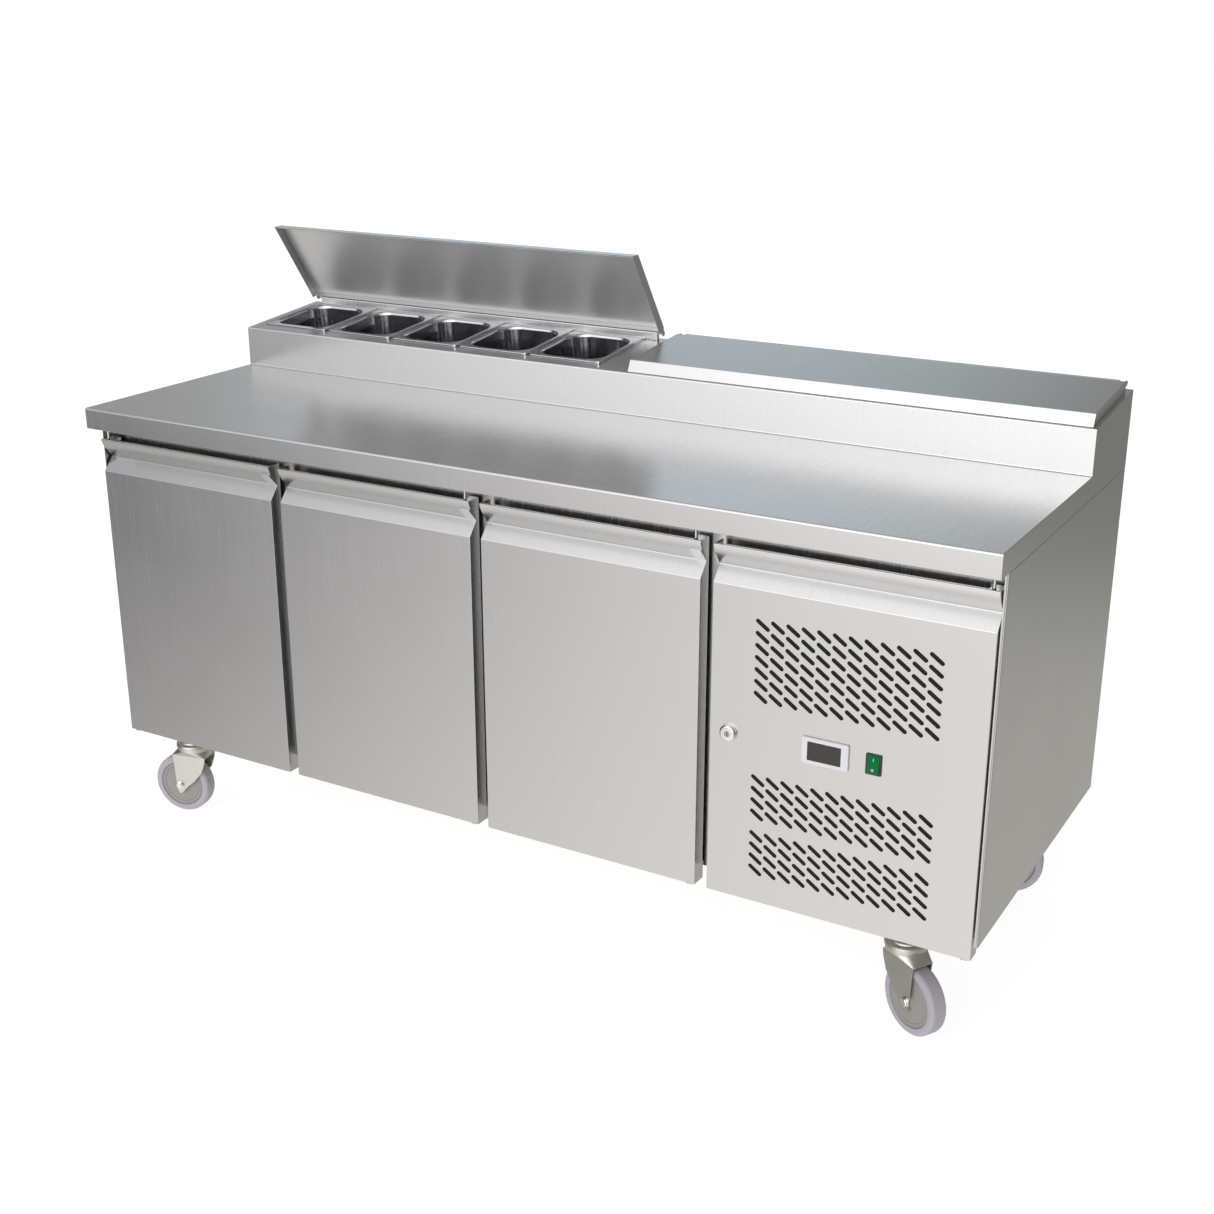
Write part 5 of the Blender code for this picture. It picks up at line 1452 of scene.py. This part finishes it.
def build_compressor():
    """Hermetic compressor: drawn pot with a weld seam, rubber-footed base, terminal box and pipe stubs."""
    low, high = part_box("compressor")
    cx, cy = (low.x + high.x) / 2, (low.y + high.y) / 2
    base = low.z
    r = min((high.x - low.x) / 2, (high.y - low.y) / 2, 0.078)
    tall = high.z - low.z
    at = Matrix.Translation((cx, cy, base))
    pot = Shape()
    profile = [(0, tall), (0.30 * r, tall - 0.0015), (0.55 * r, tall - 0.006), (0.75 * r, tall - 0.015),
               (0.90 * r, tall - 0.030), (0.97 * r, tall - 0.045), (0.985 * r, tall - 0.060),
               (0.985 * r, tall - 0.078), (r, tall - 0.080), (r, tall - 0.086), (0.985 * r, tall - 0.088),
               (0.975 * r, 0.060), (0.93 * r, 0.044), (0.82 * r, 0.030), (0.60 * r, 0.020), (0, 0.018)]
    pot.lathe(profile, 48, at)
    loop = rounded(-0.094, 0.094, -0.054, 0.054, 0.016, 5)
    pot.prism([loop], 0.010, 0.0135, "z", 0.0008, at)
    for sx in (-1, 1):
        for sy in (-1, 1):
            foot = at @ Matrix.Translation((sx * 0.080, sy * 0.040, 0))
            pot.lathe([(0, 0.0), (0.0105, 0.0), (0.0120, 0.0016), (0.0105, 0.0050), (0.0125, 0.0085),
                       (0.0105, 0.0110), (0.0105, 0.0165), (0, 0.0165)], 24, foot)
            pot.lathe(disc(0.0060, 0.016, 0.0205), 6, foot)
    pot.block((-0.030, -r - 0.0002, 0.070), (0.030, -r * 0.80, 0.125), 0.004, at)
    piece("compressor_pot", pot, BLACK_ENAMEL, "cabinet", ("compressor",))
    rear = cy + r + 0.030
    discharge = [(cx + 0.030, cy + r * 0.80, base + 0.075), (cx + 0.030, rear, base + 0.075),
                 (cx + 0.030, rear, base + 0.215), (cx - 0.080, rear, base + 0.215)]
    rear = cy + r + 0.018
    suction = [(cx - 0.030, cy + r * 0.80, base + 0.060), (cx - 0.030, rear, base + 0.060),
               (cx - 0.105, rear, base + 0.060), (cx - 0.105, cy - 0.020, base + 0.060)]
    pipes = Shape().pipe(bend(discharge, 0.016), 0.0040)
    pipes.pipe(bend(suction, 0.014), 0.0030)
    piece("compressor_pipes", pipes, COPPER, "cabinet")


def bend(points, radius, steps=5):
    """Run of points with its corners turned by a bend radius."""
    run = [Vector(points[0])]
    for before, here, after in zip(points, points[1:], points[2:]):
        here = Vector(here)
        back = (Vector(before) - here).normalized()
        on = (Vector(after) - here).normalized()
        for step in range(steps + 1):
            t = step / steps
            run.append(here + back * radius * (1 - t) ** 2 + on * radius * t ** 2)
    run.append(Vector(points[-1]))
    return run


def build_condenser():
    """Finned hot coil with end plates, tubes, shroud and fan."""
    low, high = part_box("condenser")
    deep = low.y + 0.055
    pack = Shape()
    side = 0.014
    fin_pack(pack, (low.x + side, low.y + 0.002, low.z + 0.002),
             (high.x - side, deep, high.z - 0.002), 0, 0.0046)
    for x in (low.x + side - 0.0012, high.x - side):
        pack.block((x, low.y, low.z), (x + 0.0012, deep + 0.002, high.z), 0.0002)
    piece("condenser_fins", pack, FINS, "cabinet", ("condenser",))
    tubes = coil((low.x + side - 0.002, low.y + 0.006, low.z + 0.004),
                 (high.x - side + 0.002, deep - 0.006, high.z - 0.004), 0, 1, 2, 10, 2, 0.0042, 0.0046)
    piece("condenser_tubes", tubes, COPPER, "cabinet")
    build_shroud(low, high, deep)
    build_fan("condenser_fan", 4)


def build_shroud(low, high, deep):
    """Pressed shroud from the coil to the fan's ring, with the motor on three stays."""
    fan_low, fan_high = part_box("condenser_fan")
    centre = spot("condenser_fan_spin")
    shroud = Shape()
    opening = (fan_high.x - fan_low.x) / 2 + 0.005
    rect = rounded(low.x, high.x, low.z, high.z, 0.006, 3)
    hole = circle(centre.x, centre.z, opening, 56)
    shroud.prism([rect, hole], high.y - 0.0100, high.y - 0.0085, "y", 0.0004)
    inner = rounded(low.x + 0.0015, high.x - 0.0015, low.z + 0.0015, high.z - 0.0015, 0.005, 3)
    shroud.prism([rect, inner], deep, high.y - 0.009, "y", 0.0003)
    collar = [(opening, -0.0005), (opening + 0.0035, 0.0008), (opening + 0.0035, 0.0022),
              (opening + 0.0010, 0.0012), (opening + 0.0006, 0.0100), (opening, 0.0100)]
    turn = Matrix.Rotation(-math.pi / 2, 4, "X")
    shroud.lathe(collar, 56, Matrix.Translation((centre.x, high.y - 0.0100, centre.z)) @ turn, True)
    for number in range(3):
        a = math.tau * number / 3 + math.pi / 6
        tip = opening + 0.03
        shroud.rod((centre.x + 0.018 * math.cos(a), deep + 0.006, centre.z + 0.018 * math.sin(a)),
                   (centre.x + tip * math.cos(a), deep + 0.003, centre.z + tip * math.sin(a)), 0.0022, 10)
    shroud.rod((centre.x, deep, centre.z), (centre.x, centre.y - 0.0090, centre.z), 0.020, 28, 0.001)
    piece("condenser_shroud", shroud, BLACK_ENAMEL, "cabinet")


# ================================================================ studio

AIM = Vector((0.0600, 0.0, 0.5480))
CAMERA_AZIMUTH = math.radians(30.01)
CAMERA_ELEVATION = math.radians(19.91)
CAMERA_DISTANCE = 3.1714
LENS = 50.0

# Studio, by direction seen from the table: (towards, cosines between which it fades in, power, colour)
WALLS = (0.25, 0.25, 0.23)
SOFTBOX = ((-0.085, -0.974, 0.208), (0.45, 1.0), 1.3, (2.40, 2.37, 2.36))
SOFTBOX_HORIZON = (-0.42, 0.10)
FRONT_FLOOR = ((-0.12, -0.83, -0.545), (0.60, 1.0), 1.5, (0.66, 0.63, 0.62))
WINDOW = ((-0.444, 0.871, 0.208), (0.9455, 0.9986), None, (0.48, 0.58, 0.66))
BACK_WALL = ((-0.749, 0.629, 0.208), (0.955, 1.0), None, (0.20, 0.20, 0.21))
OVERHEAD = ((-0.42, -0.12, 0.90), (0.72, 0.97), None, (0.62, 0.62, 0.63))
LEFT_SHADE = ((-0.874, -0.465, 0.139), (0.66, 0.93), None, (-0.45, -0.44, -0.40))
NEAR_FLOOR = ((0.0, -0.30, -0.95), (0.72, 0.98), None, (0.42, 0.41, 0.40))
REAR_FLOOR = (0.30, 0.29, 0.27)
REAR_FLOOR_FADE = (-0.27, -0.37)


def build_camera():
    data = bpy.data.cameras.new("camera")
    data.lens = LENS
    data.sensor_width = 36.0
    camera = bpy.data.objects.new("camera", data)
    bpy.context.scene.collection.objects.link(camera)
    flat = math.cos(CAMERA_ELEVATION)
    back = Vector((math.sin(CAMERA_AZIMUTH) * flat, -math.cos(CAMERA_AZIMUTH) * flat,
                   math.sin(CAMERA_ELEVATION)))
    camera.location = AIM + back * CAMERA_DISTANCE
    camera.rotation_euler = (-back).to_track_quat("-Z", "Y").to_euler()
    bpy.context.scene.camera = camera


WORLD_FLOOR = (0.10, 0.10, 0.10)


class Studio:
    """World shader that adds up soft glows by direction; the camera itself sees only white."""

    def __init__(self, base):
        world = bpy.data.worlds.new("studio")
        world.use_nodes = True
        self.tree = world.node_tree
        self.tree.nodes.clear()
        bpy.context.scene.world = world
        self.where = self.node("ShaderNodeTexCoord").outputs["Generated"]
        self.total = self.node("ShaderNodeRGB").outputs[0]
        self.total.default_value = (*base, 1.0)

    def node(self, kind, **settings):
        made = self.tree.nodes.new(kind)
        for key, value in settings.items():
            setattr(made, key, value)
        return made

    def height(self):
        split = self.node("ShaderNodeSeparateXYZ")
        self.tree.links.new(self.where, split.inputs[0])
        return split.outputs["Z"]

    def towards(self, direction):
        dot = self.node("ShaderNodeVectorMath", operation="DOT_PRODUCT")
        dot.inputs[1].default_value = Vector(direction).normalized()
        self.tree.links.new(self.where, dot.inputs[0])
        return dot.outputs["Value"]

    def fade(self, value, ends, power=None):
        """0 to 1 as the value goes from one end to the other, eased or raised to a power."""
        ramp = self.node("ShaderNodeMapRange")
        if power is None:
            ramp.interpolation_type = "SMOOTHSTEP"
        ramp.inputs["From Min"].default_value = min(ends)
        ramp.inputs["From Max"].default_value = max(ends)
        if ends[0] > ends[1]:
            ramp.inputs["To Min"].default_value = 1.0
            ramp.inputs["To Max"].default_value = 0.0
        self.tree.links.new(value, ramp.inputs["Value"])
        if power is None:
            return ramp.outputs["Result"]
        raised = self.node("ShaderNodeMath", operation="POWER")
        raised.inputs[1].default_value = power
        self.tree.links.new(ramp.outputs["Result"], raised.inputs[0])
        return raised.outputs[0]

    def add(self, colour, *factors):
        glow = self.node("ShaderNodeVectorMath", operation="SCALE")
        glow.inputs[0].default_value = colour
        factor = factors[0]
        for other in factors[1:]:
            product = self.node("ShaderNodeMath", operation="MULTIPLY")
            self.tree.links.new(factor, product.inputs[0])
            self.tree.links.new(other, product.inputs[1])
            factor = product.outputs[0]
        self.tree.links.new(factor, glow.inputs["Scale"])
        both = self.node("ShaderNodeVectorMath", operation="ADD")
        self.tree.links.new(self.total, both.inputs[0])
        self.tree.links.new(glow.outputs[0], both.inputs[1])
        self.total = both.outputs[0]

    def finish(self):
        floor = self.node("ShaderNodeVectorMath", operation="MAXIMUM")
        floor.inputs[1].default_value = WORLD_FLOOR
        self.tree.links.new(self.total, floor.inputs[0])
        lit = self.node("ShaderNodeBackground")
        self.tree.links.new(floor.outputs[0], lit.inputs["Color"])
        white = self.node("ShaderNodeBackground")
        white.inputs["Color"].default_value = (1, 1, 1, 1)
        mix = self.node("ShaderNodeMixShader")
        self.tree.links.new(self.node("ShaderNodeLightPath").outputs["Is Camera Ray"], mix.inputs[0])
        self.tree.links.new(lit.outputs[0], mix.inputs[1])
        self.tree.links.new(white.outputs[0], mix.inputs[2])
        self.tree.links.new(mix.outputs[0], self.node("ShaderNodeOutputWorld").inputs["Surface"])


def build_world():
    """White studio: a large softbox in front, floor glow below it, dim walls and a cool window behind."""
    studio = Studio(WALLS)
    horizon = studio.fade(studio.height(), SOFTBOX_HORIZON)
    glows = (FRONT_FLOOR, NEAR_FLOOR, WINDOW, BACK_WALL, OVERHEAD, LEFT_SHADE)
    for direction, ends, power, colour in glows:
        studio.add(colour, studio.fade(studio.towards(direction), ends, power))
    direction, ends, power, colour = SOFTBOX
    studio.add(colour, studio.fade(studio.towards(direction), ends, power), horizon)
    studio.add(REAR_FLOOR, studio.fade(studio.height(), REAR_FLOOR_FADE))
    studio.finish()


def build_floor():
    """Pale seamless floor, kept out of mirror reflections so that the steel sees only the studio."""
    part = bmesh.new()
    bmesh.ops.create_circle(part, cap_ends=True, segments=96, radius=14.0)
    mesh = bpy.data.meshes.new("floor")
    part.to_mesh(mesh)
    part.free()
    floor = bpy.data.objects.new("floor", mesh)
    bpy.context.scene.collection.objects.link(floor)
    look = Look("floor_paper", (0.30, 0.30, 0.30), 0.9)
    look.tint(look.spread(look.noise(40, 3.0), 0, 1), 0.10, (0.27, 0.27, 0.27))
    look.set(Emission_Color=(1, 1, 1, 1), Emission_Strength=0.86)
    mesh.materials.append(look.mat)
    floor.visible_glossy = False


# ================================================================ everything

build_top()
build_bars()
build_pans()
for row in ROWS:
    build_lid(row)
    build_rail(row)
for door in DOORS:
    build_door(door)
build_bay_door()
build_lock()
build_controller()
build_switch()
build_sides()
build_back()
build_bottom()
build_bulkhead()
build_frame()
for shelf in ("shelf_1", "shelf_2", "shelf_3"):
    build_shelf(shelf)
for place in CORNERS:
    build_castor(place)
build_evaporator()
build_compressor()
build_condenser()
build_camera()
build_world()
build_floor()
bpy.context.scene.view_settings.view_transform = "Standard"
